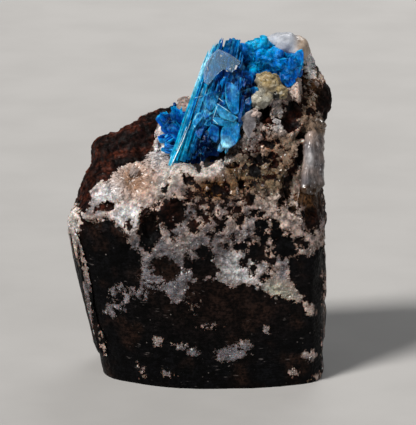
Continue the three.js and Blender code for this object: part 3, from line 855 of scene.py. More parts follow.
def lifted_rim(points):
    """The front rim of the hollow raised as high as it is seen."""
    share = smoothstep(5.2, 6.6, -points[:, 1]) * smoothstep(22.4, 24.0, points[:, 2])
    return points + np.outer(share * np.interp(seen(points)[:, 0], *zip(*RIM_LIFT)) * PIXEL, (0, 0, 1))


def outside_hollow(points):
    """1 on the lining in front of the hollow, and 0 inside it and under the laths at the right."""
    x, y, z = points.T
    under_laths = smoothstep(7.5, 9.5, x) * smoothstep(17.5, 19.5, z) * smoothstep(9.4, 8.6, -y)
    return smoothstep(5.5, 7.2, -y) * (1 - under_laths)


def lowered(points, outside, places, distance):
    """Points pressed towards the rock outside the hollow, where the front rim keeps its height."""
    x, y, z = points.T
    low = OUTER_HEIGHT * (1 - np.exp(-distance / OUTER_HEIGHT)) / np.maximum(distance, 0.01)
    inward = (points - places) * (outside * (low - 1))[:, None]
    inward[:, 2] *= 1 - smoothstep(20.5, 22, z) * smoothstep(6.5, 4.5, x) * smoothstep(9.7, 8.9, -y)
    return points + inward


def softened(lining, steps, share):
    """The lining's points moved by a share towards the average of those around them."""
    return lining.points + share[:, None] * (lining.spread(lining.points, steps) - lining.points)


def seated_lining(rock_tree):
    """The lining's form before its grains: low outside the hollow, and soft near the front rim."""
    lining = remeshed("zeolite_crust", CRUST_VOXEL)
    lining.points = lining.spread(lining.points, 3)
    places, _, distance = nearest(rock_tree, lining.points)
    outside = outside_hollow(lining.points)
    lining.points = lowered(lining.points, outside, places, distance)
    share = np.maximum(0.5 * outside, 0.8 * in_rim(seen(lining.points), -0.6, 0))
    lining.points = lifted_rim(softened(lining, 20, share))
    lining.points = softened(lining, 32, in_rim(seen(lining.points), -1.6, -0.8))
    return lining


def crust(rock_tree):
    """The lining of the hollow, sunk into the rock at its inner face."""
    lining = seated_lining(rock_tree)
    places, normals, distance = nearest(rock_tree, lining.points)
    pixels = seen(lining.points)
    pale = pale_depth_on_crust(lining.points, pixels)
    shown = smoothstep(-0.35, -0.05, lining.spread(pale, 2))
    shown = np.maximum(shown, smoothstep(0, 0.25, dark_depth(pixels)))
    outer = smoothstep(0.25, 0.7, distance) * shown
    buried = places - 0.3 * normals
    lining.points = lining.spread(buried + (lining.points - buried) * outer[:, None], 2)
    white = smoothstep(-0.15, 0.3, pale)
    first, second, _ = cellular(lining.points, 0.8, 83)
    facets = (second - first) * 0.12 - 0.04
    lumps = 0.24 * fractal(lining.points, 1.7, 2, 85) + 0.05 * fractal(lining.points, 0.6, 2, 86, True)
    calm = 1 - 0.8 * in_rim(pixels, -0.3, 0.2)
    lining.move(lining.normals(2), outer * (white * calm * (facets + lumps) - 0.2 * (1 - white)))
    return lining, outer, pale, painted_piece(lining, pale, "zeolite_lining", "zeolite", "zeolite_crust")


# ---- crystals ----


def ramp(value, stops, colours):
    """Colours read between stops, one for each value."""
    return np.stack([np.interp(value, stops, channel) for channel in np.array(colours).T], 1)


def framed(axis, across):
    """Unit vectors along, across and through crystals."""
    axis = unit(axis)
    side = unit(across - (across * axis).sum(1)[:, None] * axis)
    return axis, side, np.cross(axis, side)


LATH_POINTS = 10
LATH_QUADS = [
    (3, 2, 1, 0), (0, 1, 5, 4), (1, 2, 6, 5), (2, 3, 7, 6), (3, 0, 4, 7), (4, 5, 9, 8), (6, 7, 8, 9),
]
LATH_ENDS = [(5, 6, 9), (7, 4, 8)]


def laths(foot, axis, across, length, width, depth, chisel=0.5):
    """Four-sided crystals with chisel ends, one for each row: their points and faces."""
    axis, side, through = framed(axis, across)
    shoulder = length - np.minimum(chisel * width, 0.6 * length)
    corners = [(up, a, b) for up in (0 * length, shoulder) for a, b in ((-1, -1), (1, -1), (1, 1), (-1, 1))]
    corners += [(length, -0.6, 0), (length, 0.6, 0)]
    points = np.stack(
        [
            foot + axis * up[:, None] + side * (a * width / 2)[:, None] + through * (b * depth / 2)[:, None]
            for up, a, b in corners
        ],
        1,
    )
    starts = np.arange(len(foot))[:, None, None] * LATH_POINTS
    faces = [(starts + np.array(group)).reshape(-1, len(group[0])) for group in (LATH_QUADS, LATH_ENDS)]
    return points.reshape(-1, 3), faces


def blades(foot, axis, across, length, width, depth, random, columns=5, steps=6, ragged=0.12, taper=0.5):
    """Flat crystals with lengthwise ridges and ragged ends: points, faces, and where each point lies.

    Each ring of a blade goes over its front columns and comes back over the same columns behind.
    """
    count, ring = len(foot), 2 * columns
    axis, side, through = framed(axis, across)
    column = np.concatenate([np.arange(columns), np.arange(columns)[::-1]])
    over = np.linspace(-1, 1, columns)[column]
    ridges = random.uniform(0.35, 1, (count, ring)) * (1 - 0.65 * np.abs(over) ** 3)
    ends = (1 - ragged * random.uniform(0, 1, (count, columns)))[:, column]
    along = np.linspace(0, 1, steps)
    slim = 1 - taper * smoothstep(0.55, 1, along) ** 2
    thin = 1 - 0.8 * smoothstep(0.6, 1, along)
    up = along[None, :, None] * (ends * length[:, None])[:, None, :]
    out = (over * slim[:, None])[None] * width[:, None, None] / 2
    off = (ridges * np.repeat([-1, 1], columns) * depth[:, None] / 2)[:, None, :] * thin[None, :, None]
    points = foot[:, None, None] + sum(
        vector[:, None, None] * amount[..., None]
        for vector, amount in ((axis, up), (side, out + 0 * up), (through, off + 0 * up))
    )
    low, first = np.arange(ring), np.arange(columns - 1)
    high = (low + 1) % ring
    walls = [np.stack([low, high, high + ring, low + ring], 1) + i * ring for i in range(steps - 1)]
    foot_cap = np.stack([first, ring - 1 - first, ring - 2 - first, first + 1], 1)
    quads = np.concatenate([*walls, foot_cap, (steps - 1) * ring + foot_cap[:, ::-1]])
    faces = (np.arange(count)[:, None, None] * steps * ring + quads).reshape(-1, 4)
    shape = (count, steps, ring)
    number = np.broadcast_to(np.arange(count)[:, None, None], shape)
    where = {
        "along": np.broadcast_to(along[None, :, None], shape).reshape(-1),
        "edge": np.broadcast_to(np.abs(over), shape).reshape(-1),
        "blade": number.reshape(-1),
        "streak": np.stack([out + 0.41 * number, off + 0 * up, 0.1 * up], -1).reshape(-1, 3),
    }
    return points.reshape(-1, 3), [faces], where


def slab(outline, through, thickness, rim=0.2, bevel=0.07):
    """A tabular crystal with bevelled edges: points, faces, and how near the rim each point lies."""
    centre, count = outline.mean(axis=0), len(outline)
    through = unit(np.array(through, float))
    inward = unit(centre - outline)
    middle = 0.5 * np.linalg.norm(centre - outline, axis=1)[:, None]
    levels = [(middle, 0.5, 0), (rim, 0.5, 0.1), (bevel, 0.5, 0.8), (0, 0.25, 1)]
    levels += [(inset, -lift, edge) for inset, lift, edge in levels[::-1]]
    rings = [outline + inward * inset + through * thickness * lift for inset, lift, _ in levels]
    poles = np.stack([centre + through * thickness / 2, centre - through * thickness / 2])
    low, high = np.arange(count), (np.arange(count) + 1) % count
    quads = np.concatenate(
        [np.stack([low, high, high + count, low + count], 1) + i * count for i in range(len(levels) - 1)]
    )
    front, back = count * len(levels), count * len(levels) + 1
    last = count * (len(levels) - 1)
    fans = np.concatenate(
        [
            np.stack([high, low, np.full(count, front)], 1),
            np.stack([low + last, high + last, np.full(count, back)], 1),
        ]
    )
    edges = np.concatenate([np.full(count, edge) for _, _, edge in levels] + [np.zeros(2)])
    return np.concatenate([*rings, poles]), [quads, fans], edges


# ---- what grows on the lining ----


def hits(tree, pixels):
    """Where lines of sight through pixels meet a surface, and the normals there."""
    ahead = Vector((0, math.cos(ELEVATION), -math.sin(ELEVATION)))
    cast = [tree.ray_cast(Vector(placed(px, py, -40)), ahead) for px, py in pixels]
    met = [(place, normal) for place, normal, _, _ in cast if place]
    return np.array([place for place, _ in met]), np.array([normal for _, normal in met])


FAN_NUCLEI = [(131, 181), (160, 158)]
FAN_REACH = 2.1  # mm
FAN_BLADES = 800


def varied(colours, random, low, high):
    """Colours, each made darker or lighter as a whole."""
    return colours * np.exp(random.uniform(math.log(low), math.log(high), len(colours)))[:, None]


def druse(pile, surface, colours, weights, count, random, length, width, lean):
    """Blocky crystals that stand on a surface where the weights allow them.

    Lengths and widths are ranges in mm, and lean is how far they turn from the surface's normals.
    """
    chosen = random.choice(len(weights), count, p=weights / weights.sum())
    foot = surface.points[chosen] - surface.normals(1)[chosen] * 0.3 * np.mean(length)
    axis = unit(surface.normals(1)[chosen] + lean * random.normal(size=(count, 3)))
    long, wide = random.uniform(*length, count), random.uniform(*width, count)
    sunk = 0.4 * long[:, None]
    across, thick = random.normal(size=(count, 3)), wide * random.uniform(0.35, 1, count)
    points, faces = laths(foot - axis * sunk, axis, across, long, wide, thick)
    tint = varied(colours[chosen], random, 0.55, 1.6)
    pile.add(points, faces, tint=tint.repeat(LATH_POINTS, 0))


def fans(pile, surface, colours, outer, tree, random):
    """Thin plates that lie on the lining and radiate from a few middles."""
    middles, _ = hits(tree, FAN_NUCLEI)
    normals = surface.normals(12)
    away = np.linalg.norm(surface.points[:, None] - middles[None], axis=2)
    owner, distance = away.argmin(1), away.min(1)
    weights = outer * (distance < FAN_REACH) * (distance > 0.15)
    chosen = random.choice(len(weights), FAN_BLADES, p=weights / weights.sum())
    foot, normal = surface.points[chosen], normals[chosen]
    outward = unit(foot - middles[owner[chosen]])
    lift = random.uniform(-0.15, 0.2, FAN_BLADES)[:, None]
    axis = unit(outward + normal * lift + 0.16 * random.normal(size=(FAN_BLADES, 3)))
    across = np.cross(normal, axis) + 0.3 * random.normal(size=(FAN_BLADES, 3))
    long, wide = random.uniform(0.4, 1.0, FAN_BLADES), random.uniform(0.1, 0.34, FAN_BLADES)
    points, faces, where = blades(
        foot - axis * 0.5 * long[:, None], axis, across, long, wide, 0.5 * wide, random, 3, 3, 0.3, taper=0.2
    )
    brightness = (0.45 + 0.35 * distance[chosen])[where["blade"]] + 0.4 * where["along"]
    tint = varied(colours[chosen], random, 0.75, 1.35)[where["blade"]] * brightness[:, None]
    pile.add(points, faces, tint=tint)


def lining_crystals(lining, outer, pale, colours, tree):
    """Fans, grains and blocky crystals on the lining, small and few on its cream rim."""
    random = np.random.default_rng(5)
    pixels = seen(lining.points)
    front = front_share(lining.normals(6))
    pile = Pile()
    bare = outer * (pale > 0.1)
    fans(pile, lining, colours, bare, tree, random)
    fan = soft_spot(pixels, 138, 186, 44, 36, -25) * front
    cream = soft_spot(pixels, 200, 166, 32, 10, -4) * front
    blocky = soft_spot(pixels, 258, 135, 34, 44, 20) * front
    calm = 1 - 0.8 * fan
    grains = bare * calm * (1 - 0.5 * cream)
    larger = bare * calm * np.clip(1 - 1.5 * cream, 0, 1) * (0.05 + blocky)
    largest = bare * (1 - cream) * (0.03 + blocky)
    druse(pile, lining, colours, grains, 2600, random, (0.15, 0.4), (0.1, 0.26), 1.1)
    druse(pile, lining, colours, larger, 600, random, (0.3, 0.8), (0.2, 0.55), 0.9)
    druse(pile, lining, 1.5 * colours, largest, 40, random, (0.6, 1.0), (0.3, 0.6), 0.9)
    grey_blade(pile, tree)
    pile.build("lining_crystals", [ZEOLITE], "zeolite", "zeolite_crust")


GREY_BLADE = [(239, 120), (245, 115), (252, 112), (256, 121), (254, 134), (248, 140), (243, 131)]


def grey_blade(pile, tree):
    """A glassy grey crystal that leans on the lining at the right of the sheaf."""
    middle, _ = hits(tree, [np.mean(GREY_BLADE, axis=0)])
    outline, through = leaning_slab(GREY_BLADE, middle[0, 1] - 0.3, (0.1, 0.3))
    points, faces, edges = slab(outline, through, 0.5, 0.3, 0.1)
    tint = 0.8 * mixed(GREY_ZEOLITE, WHITE_ZEOLITE, 0.7 * edges + 0.3 * perlin(points, 99))
    pile.add(points, faces, tint=tint)


def rock_crystals(rock, pale, colours):
    """Glinting grains on the pale patches of the rock."""
    random = np.random.default_rng(6)
    pile = Pile()
    weights = (pale > 0.1) * (rock.points[:, 2] > 0.6) * 1.0
    druse(pile, rock, colours, weights, 5000, random, (0.1, 0.26), (0.07, 0.17), 1.0)
    pile.build("patch_crystals", [ZEOLITE], "zeolite")


# ---- cavansite ----

SHEAF_LOWER_Y = -5.2
SHEAF_UPPER_Y = -2.9
SHEAF_LOWER = [(-3.3, 24.2), (-1.7, 24.9), (0.1, 26.1), (1.9, 27.5), (4.6, 29.7)]  # x and z of its feet
SHEAF_UPPER = [(1.1, 37.2), (2.6, 38.8), (3.5, 38.0), (4.3, 38.5), (5.5, 34.2)]  # x and z of its tips
SHEAF_DEPTH = (3.2, 2.4)  # mm from its front to its back, at the foot and at the tips
SHEAF_SINK = 1.8  # mm by which its back reaches lower than its front
BLUE_STOPS = (0, 0.3, 0.55, 0.8, 1)
BLUES = (NAVY, BLUE, AZURE, CYAN, ICE)


def on_line(points, y, share):
    """Points at depth y, read along a line of x and z at shares of its length."""
    at = share * (len(points) - 1)
    x, z = (np.interp(at, range(len(points)), values) for values in zip(*points))
    return np.stack([x, np.full(len(at), y), z], 1)


def blue_tint(where, tone, tip=0.2, edge=0.1, foot=0.4):
    """Painted shade and light: dark at the foot, brighter towards the tip and along the edges."""
    along = where["along"]
    value = tone[where["blade"]] + tip * smoothstep(0.55, 1, along) + edge * where["edge"] ** 4
    return ramp(value, BLUE_STOPS, BLUES) * (foot + (1 - foot) * smoothstep(0, 0.3, along))[:, None]


POINTED = {"ragged": 0.03, "taper": 0.85}
BROAD = {"ragged": 0.03, "taper": 0.3}
WORN = {"ragged": 0.04, "taper": 0.3}
SHEAF_GROUPS = [  # how many, shares across it, behind its front, of start and of end, widths, tones, form
    (20, (0.15, 0.42), (0.15, 0.9), (0, 0.1), (0.85, 1), (0.9, 1.5), (0.05, 0.3), POINTED),
    (45, (0.45, 1), (0.15, 0.9), (0, 0.1), (0.85, 1), (1.0, 1.7), (0.05, 0.3), BROAD),
    (160, (0.1, 0.42), (0, 0.5), (0, 0.2), (0.7, 1.0), (0.3, 0.75), (0.25, 0.65), {"taper": 0.6}),
    (90, (0, 0.16), (0, 0.5), (0, 0.15), (0.6, 1.0), (0.3, 0.6), (0.5, 0.85), {"foot_shade": 0.95}),
    (60, (0.48, 0.85), (0.1, 0.9), (0.3, 0.5), (0.9, 1), (0.8, 1.4), (0.1, 0.4), WORN),
]


def sheaf_blades(pile, random, count, across, behind, start, end, widths, tones, foot_shade=0.4, **form):
    """One group of the leaning sheaf's parallel blades."""
    share, back = random.uniform(*across, count), random.uniform(*behind, count)
    lower = on_line(SHEAF_LOWER, SHEAF_LOWER_Y, share)
    upper = on_line(SHEAF_UPPER, SHEAF_UPPER_Y, share)
    lower[:, 1] += SHEAF_DEPTH[0] * back
    upper[:, 1] += SHEAF_DEPTH[1] * back
    lower[:, 2] -= SHEAF_SINK * back
    foot = lower + (upper - lower) * random.uniform(*start, count)[:, None]
    tip = lower + (upper - lower) * random.uniform(*end, count)[:, None]
    wide = random.uniform(*widths, count)
    facing = np.array([1.0, -0.35, 0]) + 0.55 * random.normal(size=(count, 3))
    long = np.linalg.norm(tip - foot, axis=1)
    points, faces, where = blades(foot, tip - foot, facing, long, wide, wide * 0.45, random, **form)
    tint = blue_tint(where, random.uniform(*tones, count), foot=foot_shade)
    pile.add(points, faces, tint=tint, streak=where["streak"])


SLABS = [  # outline in pixels, y, lean to the right and up, tone
    ([(224, 84), (231, 86), (239, 92), (239, 113), (234, 117), (226, 108)], -4.45, (0.1, 0.2), 0.37),
    ([(206, 96), (213, 94), (218, 104), (212, 113), (204, 108)], -4.45, (-0.1, 0.2), 0.36),
    ([(222, 80), (224, 83), (220, 96), (217, 105), (214, 107), (217, 94)], -4.2, (-0.3, 0.2), 0.5),
    ([(214, 105), (222, 108), (238, 120), (233, 124), (217, 118)], -5.1, (0.1, 0.25), 0.44),
    ([(211, 118), (228, 121), (238, 123), (233, 129), (217, 127)], -5.2, (0.1, 0.25), 0.46),
    (
        [(220, 131), (227, 124), (239, 124), (239, 135), (236, 144), (227, 149), (221, 147)],
        -5.5, (0.1, 0.3), 0.46,
    ),
    ([(210, 126), (218, 128), (220, 138), (215, 144), (209, 138)], -5.15, (-0.2, 0.3), 0.28),
    ([(192, 126), (196, 116), (201, 114), (203, 118), (199, 125), (195, 130)], -5.0, (-0.2, 0.2), 0.55),
]
BROKEN_AREA = [
    (207, 88), (222, 76), (236, 66), (250, 80), (256, 92), (253, 106), (246, 116), (240, 128), (236, 146),
    (226, 149), (216, 150), (206, 154), (198, 150), (196, 130), (202, 108),
]
BROKEN_COUNT = 170
# spots of painted shade, where the plates are darker
SHADED_BLUES = [(204, 142, 14, 12, 0), (214, 90, 8, 9, 0), (236, 76, 9, 9, 0), (244, 92, 8, 12, 0)]
REAR_SLABS = [
    ([(288, 62), (295, 54), (302, 52), (302, 66), (297, 79), (290, 83), (287, 72)], -2.5, (0.15, 0.1), 0.5),
    ([(274, 64), (285, 59), (291, 68), (287, 80), (278, 77)], -2.4, (-0.2, 0.2), 0.4),
    ([(281, 76), (290, 73), (296, 83), (288, 90), (283, 86)], -2.8, (0, 0.3), 0.3),
]


def leaning_slab(pixels, y, lean):
    """The corners of a slab seen at pixels, whose depth changes to the right and up from y."""
    outline = np.array([placed(px, py, y) for px, py in pixels])
    centre = outline.mean(axis=0)
    outline[:, 1] += lean[0] * (outline[:, 0] - centre[0]) + lean[1] * (outline[:, 2] - centre[2])
    return outline, (lean[0], -1.0, lean[1])


def worn(outline, random):
    """An outline with its corners cut off, a little uneven."""
    following = np.roll(outline, -1, axis=0)
    cut = np.stack([0.78 * outline + 0.22 * following, 0.22 * outline + 0.78 * following], 1)
    return cut.reshape(-1, 3) + 0.04 * random.normal(size=(2 * len(outline), 3))


def slabs(pile, plates, bright, random):
    """Translucent plates, whose rims are bright in places, with frost and painted highlights."""
    for pixels, y, lean, tone in plates:
        outline, through = leaning_slab(pixels, y, lean)
        outline = worn(outline, random)
        points, faces, edges = slab(outline, through, 0.3, 0.3, 0.1)
        rim = random.uniform(0, 1, len(outline)) ** 2
        value = tone + 0.22 * perlin(points / 0.7, 91)
        value[:-2] += bright * edges[:-2] * np.tile(rim, (len(points) - 2) // len(outline))
        streak = np.stack([points[:, 0], points[:, 1], 0.25 * points[:, 2]], 1)
        pile.add(points, faces, tint=ramp(value, BLUE_STOPS, BLUES), streak=streak)


def broken_plates(random):
    """Irregular plates all over the broken face of the sheaf, long in the direction of its blades."""
    low, high = np.min(BROKEN_AREA, axis=0), np.max(BROKEN_AREA, axis=0)
    tried = random.uniform(low, high, (BROKEN_COUNT * 4, 2))
    centres = tried[polygon_depth(tried, BROKEN_AREA) > 0.15][:BROKEN_COUNT]
    # painted shade: plates darker in the shaded spots
    painted_shade = strongest(centres, SHADED_BLUES)
    turns = np.array([0.6, 2.3, 3.9, 5.5])
    plates = []
    for centre, dark in zip(centres, painted_shade):
        angle = turns + random.uniform(-0.5, 0.5, len(turns))
        along = np.sin(angle) * random.uniform(4, 10)
        across = np.cos(angle) * random.uniform(2.5, 5)
        outline = centre + np.stack([across + 0.25 * along, 0.25 * across - along], 1)
        y = np.interp(centre[1], (70, 150), (-3.6, -5.4)) + random.uniform(0, 0.7)
        lean = random.normal(size=2) * 0.3 + (0.05, 0.22)
        plates.append((outline, y, lean, random.uniform(0.15, 0.55) - 0.45 * dark))
    return plates


NEEDLES = [  # painted highlights along edges: from one pixel to another, and width in mm
    ((221, 44), (212, 62), 0.2), ((213, 60), (201, 86), 0.16), ((209, 56), (202, 72), 0.16),
    ((203, 90), (194, 114), 0.12), ((191, 122), (181, 146), 0.24), ((182, 143), (172, 167), 0.26),
    ((187, 128), (178, 150), 0.14), ((178, 150), (169, 169), 0.16), ((224, 79), (219, 94), 0.12),
    ((231, 85), (239, 94), 0.14), ((217, 106), (228, 113), 0.14), ((226, 112), (238, 120), 0.12),
    ((217, 108), (213, 120), 0.14), ((223, 148), (233, 147), 0.16), ((238, 126), (238, 140), 0.12),
    ((203, 98), (195, 100), 0.12), ((207, 89), (204, 99), 0.12), ((230, 67), (238, 79), 0.1),
    ((243, 62), (237, 76), 0.1), ((213, 121), (218, 126), 0.14), ((218, 100), (223, 104), 0.16),
    ((200, 150), (201, 163), 0.1), ((197, 116), (193, 125), 0.14),
]


def needles(pile):
    """Thin straight crystals painted white as highlights along edges, laid on what the pile shows, the
    thinnest dim.
    """
    tree = pile.tree()
    across = np.array([[0, -1.0, 0.3]])
    for start, end, width in NEEDLES:
        ends, normals = hits(tree, [start, end])
        if len(ends) == 2:
            foot, tip = ends + 0.3 * width * normals
            sizes = np.array([[np.linalg.norm(tip - foot)], [0.7 * width], [0.4 * width]])
            points, faces = laths(foot[None], (tip - foot)[None], across, *sizes)
            brightness = np.full(len(points), (width / 0.2) ** 2)
            pile.add(points, faces, tint=mixed(HAZE, PAINTED_EDGE_HIGHLIGHT, brightness), streak=points)


LEFT_FAN_HUB = (184, 141)
LEFT_FAN_CAST = (0.8, 0.95, 1.35)  # by which it is bluer than the sheaf
LEFT_FAN = [  # degrees, pixels
    (95, 46), (115, 40), (140, 36), (155, 33), (175, 25), (200, 19), (225, 19), (240, 25),
]
LEFT_FAN_BUNDLES = 26
LEFT_FAN_EACH = 22


def left_fan(pile, random):
    """Bundles of fine blades that spread to the left of the sheaf, in a few layers."""
    bundles, each = LEFT_FAN_BUNDLES, LEFT_FAN_EACH
    count = bundles * each
    layer = random.uniform(0, 1, bundles)
    aim = np.linspace(LEFT_FAN[0][0], LEFT_FAN[-1][0], bundles) + random.normal(size=bundles) * 9
    far = np.interp(aim, *zip(*LEFT_FAN)) * PIXEL * random.uniform(0.55, 0.9, bundles)
    far *= 0.75 + 0.25 * layer
    turn = np.radians(aim.repeat(each) + random.normal(size=count) * 5)
    layer, reach = layer.repeat(each), far.repeat(each) * random.uniform(0.8, 1, count)
    axis = np.stack([np.cos(turn), random.normal(size=count) * 0.15, np.sin(turn)], 1)
    across = np.stack([-np.sin(turn), random.normal(size=count) * 0.7, np.cos(turn)], 1)
    hub = placed(*LEFT_FAN_HUB, -3.6) + np.stack([0 * layer, 2.6 * layer, -0.7 * layer], 1)
    hub += (random.normal(size=(bundles, 3)) * (0.5, 0.2, 0.6)).repeat(each, 0)
    foot = hub + unit(axis) * 0.1 * reach[:, None] + random.normal(size=(count, 3)) * 0.18
    long, wide = 0.9 * reach, random.uniform(0.25, 0.7, count)
    points, faces, where = blades(foot, axis, across, long, wide, 0.4 * wide, random, ragged=0.1, taper=0.2)
    tone = random.uniform(0.25, 0.7, count) + 0.15 * smoothstep(160, 215, aim.repeat(each))
    tint = blue_tint(where, tone, tip=0.1, edge=0, foot=0.5) * LEFT_FAN_CAST
    pile.add(points, faces, tint=tint, streak=where["streak"])


VELVET_VOXEL = 0.13
VELVET_BLADES = 900
VELVET_MIDDLE = (7.8, 1.5, 33)  # mm


def velvet(pile, random):
    """The lumpy blue body of the rear rosettes, close-set with blades that point away from its middle."""
    body = lump("cavansite_rear_spray", VELVET_VOXEL, 4, 1.1, 0.3, 93)
    right = smoothstep(296, 302, seen(body.points)[:, 0])
    body.move(body.normals(12), 0.35 - 0.5 * right + 0.1 * fractal(body.points, 0.8, 2, 94, True))
    for _ in range(3):
        body.move(body.normals(6), -np.clip(polygon_depth(seen(body.points), CAP_WINDOW), 0, 0.6))
    tone = rear_tone(body.points) + 0.1 * fractal(body.points, 0.9, 3, 95)
    # painted shade: darker in the body's hollows
    tone -= 0.7 * np.clip(hollowness(body, 5), -0.08, 0.4)
    tint = ramp(tone, BLUE_STOPS, BLUES)
    pile.cover(body, tint=tint, streak=body.points * (1, 1, 0.3))
    weights = (1 - right) * (polygon_depth(seen(body.points), CAP_WINDOW) < -0.3)
    count = VELVET_BLADES
    chosen = random.choice(len(weights), count, p=weights / weights.sum())
    outward = unit(body.points[chosen] - VELVET_MIDDLE)
    axis = unit(body.normals(3)[chosen] + outward + (0, 0, 0.4) + 0.3 * random.normal(size=(count, 3)))
    across = np.cross(axis, (0, -1.0, 0)) + 0.5 * random.normal(size=(count, 3))
    long, wide = random.uniform(0.35, 0.75, count), random.uniform(0.3, 0.7, count)
    foot = body.points[chosen] - axis * 0.6 * long[:, None]
    points, faces, where = blades(foot, axis, across, long, wide, 0.4 * wide, random, 3, 3, 0.2, taper=0.15)
    value = tone[chosen] + random.uniform(-0.06, 0.06, count)
    tint = blue_tint(where, value, tip=0.06, edge=0.04, foot=0.7)
    pile.add(points, faces, tint=tint, streak=where["streak"])


HAZY = [  # ellipses of the photograph, as are the spots below
    (232, 92, 6, 7, 0), (204, 108, 11, 12, 30), (220, 118, 12, 8, 0), (227, 144, 10, 7, 0),
    (234, 132, 4, 8, 0), (197, 121, 4, 6, 0), (243, 66, 5, 5, 0), (168, 150, 5, 8, 0),
]
TEAL_SPOT = (226, 120, 18, 32, 10)
ICY_SPOT = (225, 147, 11, 7)
LIT = [(180, 151, 6, 19, 28), (254, 68, 7, 5, 0)]
# spots of painted shade, where the sheaf is deep
DEEP = [
    (205, 146, 15, 13, 0), (213, 91, 6, 7, 0), (236, 62, 8, 12, 0), (248, 92, 7, 18, 0), (231, 49, 9, 9, 0),
    (172, 122, 9, 12, 0),
]


def hazed(points, tints):
    """Painted light and shade: tints pale with haze where light enters the sheaf, cyan where it is lit, and
    deep where it is shaded.
    """
    pixels = seen(points)
    haze, deep = strongest(pixels, HAZY), strongest(pixels, DEEP)
    clouds = smoothstep(0, 0.7, fractal(points, 0.8, 3, 97))
    teal = 0.85 * smoothstep(0.02, 0.1, tints[:, 1]) * soft_spot(pixels, *TEAL_SPOT)
    tints = mixed(tints, TEAL, teal)
    tints = mixed(tints, HAZE, haze * (0.15 + 0.45 * clouds))
    tints = mixed(tints, CYAN, 0.9 * strongest(pixels, LIT))
    tints = mixed(tints, ICE, 1.1 * ellipse(pixels, *ICY_SPOT) + 0.2 * clouds * haze)
    return tints * (1 - 0.7 * deep * (1 - haze))[:, None]


SHEAF_AXIS = (0.42, 0.2, 0.88)
CORE_VOXEL = 0.2


def core(pile):
    """The dark middle of the sheaf, which shows between its blades as painted shade."""
    body = remeshed("cavansite_front_spray", CORE_VOXEL)
    body.points = body.spread(body.points, 8)
    body.move(body.normals(6), np.full(len(body.points), -0.4))
    axis, side, through = framed(np.array([SHEAF_AXIS]), np.array([[1.0, 0, 0]]))
    streak = body.points @ np.concatenate([side, through, 0.1 * axis]).T
    tone = 0.14 + 0.2 * perlin(streak / (0.5, 0.5, 0.3), 96)
    pile.cover(body, tint=ramp(tone, BLUE_STOPS, BLUES), streak=streak)


def front_spray():
    """The leaning sheaf with its left fan, its plates and its needles."""
    random = np.random.default_rng(8)
    pile = Pile()
    core(pile)
    for *group, form in SHEAF_GROUPS:
        sheaf_blades(pile, random, *group, **form)
    left_fan(pile, random)
    slabs(pile, broken_plates(random), 0.5, random)
    slabs(pile, SLABS, 0.6, random)
    pile.repaint(hazed)
    needles(pile)
    pile.build("cavansite_front_blades", [CAVANSITE], "cavansite", "cavansite_front_spray")


CAP_WINDOW = [  # where the cap is seen in front of the rosettes
    (262, 28), (264, 35), (268, 42), (273, 48), (280, 52), (288, 55), (297, 52), (303, 49), (310, 49),
    (310, 28),
]
# spots of painted light and of painted shade on the rear rosettes
REAR_LIT = [(252, 43, 14, 10, 0), (264, 44, 10, 10, 0), (253, 70, 9, 6, 0)]
REAR_SHADED = [(248, 92, 10, 18, 0), (240, 60, 6, 16, 0), (272, 88, 12, 8, 0)]


def rear_tone(points):
    """How bright the rear rosettes are, with painted light on their lit spots and painted shade on their
    shaded ones, darker to the right.
    """
    pixels = seen(points)
    bright, dark = strongest(pixels, REAR_LIT), strongest(pixels, REAR_SHADED)
    return 0.48 + 0.22 * bright - 0.3 * dark - 0.14 * smoothstep(272, 292, pixels[:, 0])


def rear_spray():
    """The rosettes behind the sheaf, with a few plates at their right."""
    random = np.random.default_rng(9)
    pile = Pile()
    velvet(pile, random)
    slabs(pile, REAR_SLABS, 0.3, random)
    pile.build("cavansite_rear_blades", [CAVANSITE], "cavansite", "cavansite_rear_spray")


# ---- the other minerals ----

MINERAL_VOXEL = 0.13
HONEY_VOXEL = 0.12
HONEY_GRAINS = 70
# an ellipse where the shadow of a gap is painted across the honey crystals
HONEY_GAP_SHADOW = (277, 101, 9, 3.5, 38)


def coat(tree):
    """The thin pale skin on the joint face at the left, pressed close to the rock."""
    skin = remeshed("left_face_crust", CRUST_VOXEL)
    places, normals, distance = nearest(tree, skin.points)
    skin.points = places + normals * (0.85 * distance - 0.14)[:, None]
    skin.points = skin.spread(skin.points, 4)
    streaks = fractal(skin.points * (1, 1, 0.2), 0.7, 3, 95, ridged=True)
    skin.move(skin.normals(2), 0.08 * streaks * (distance > 0.5))
    covered = 0.14 * np.clip(skin.points[:, 2] - 14, -2.5, 3)
    covered += 0.35 * smoothstep(3.5, 5.2, -skin.points[:, 1])
    pale = 0.9 * fractal(skin.points * (1, 1, 0.12), 1.0, 3, 98) + covered - 0.1
    painted_piece(skin, pale, "left_face_coat", "zeolite", "left_face_crust")


def lump(node, voxel, smoothing, facet_size, facet_height, seed):
    """A node's form with soft facets."""
    body = remeshed(node, voxel)
    body.points = body.spread(body.points, smoothing)
    first, second, _ = cellular(body.points, facet_size, seed)
    relief = np.minimum(second - first, 0.5) + 0.5 * fractal(body.points, 0.7, 2, seed)
    body.move(body.normals(4), facet_height * relief)
    return body


def shaded(body, tint):
    """Tints with painted shade: darker in hollows and lighter on ridges."""
    return tint * np.clip(1 - 1.6 * np.clip(hollowness(body, 5), -0.15, 0.4), 0.3, 1.3)[:, None]


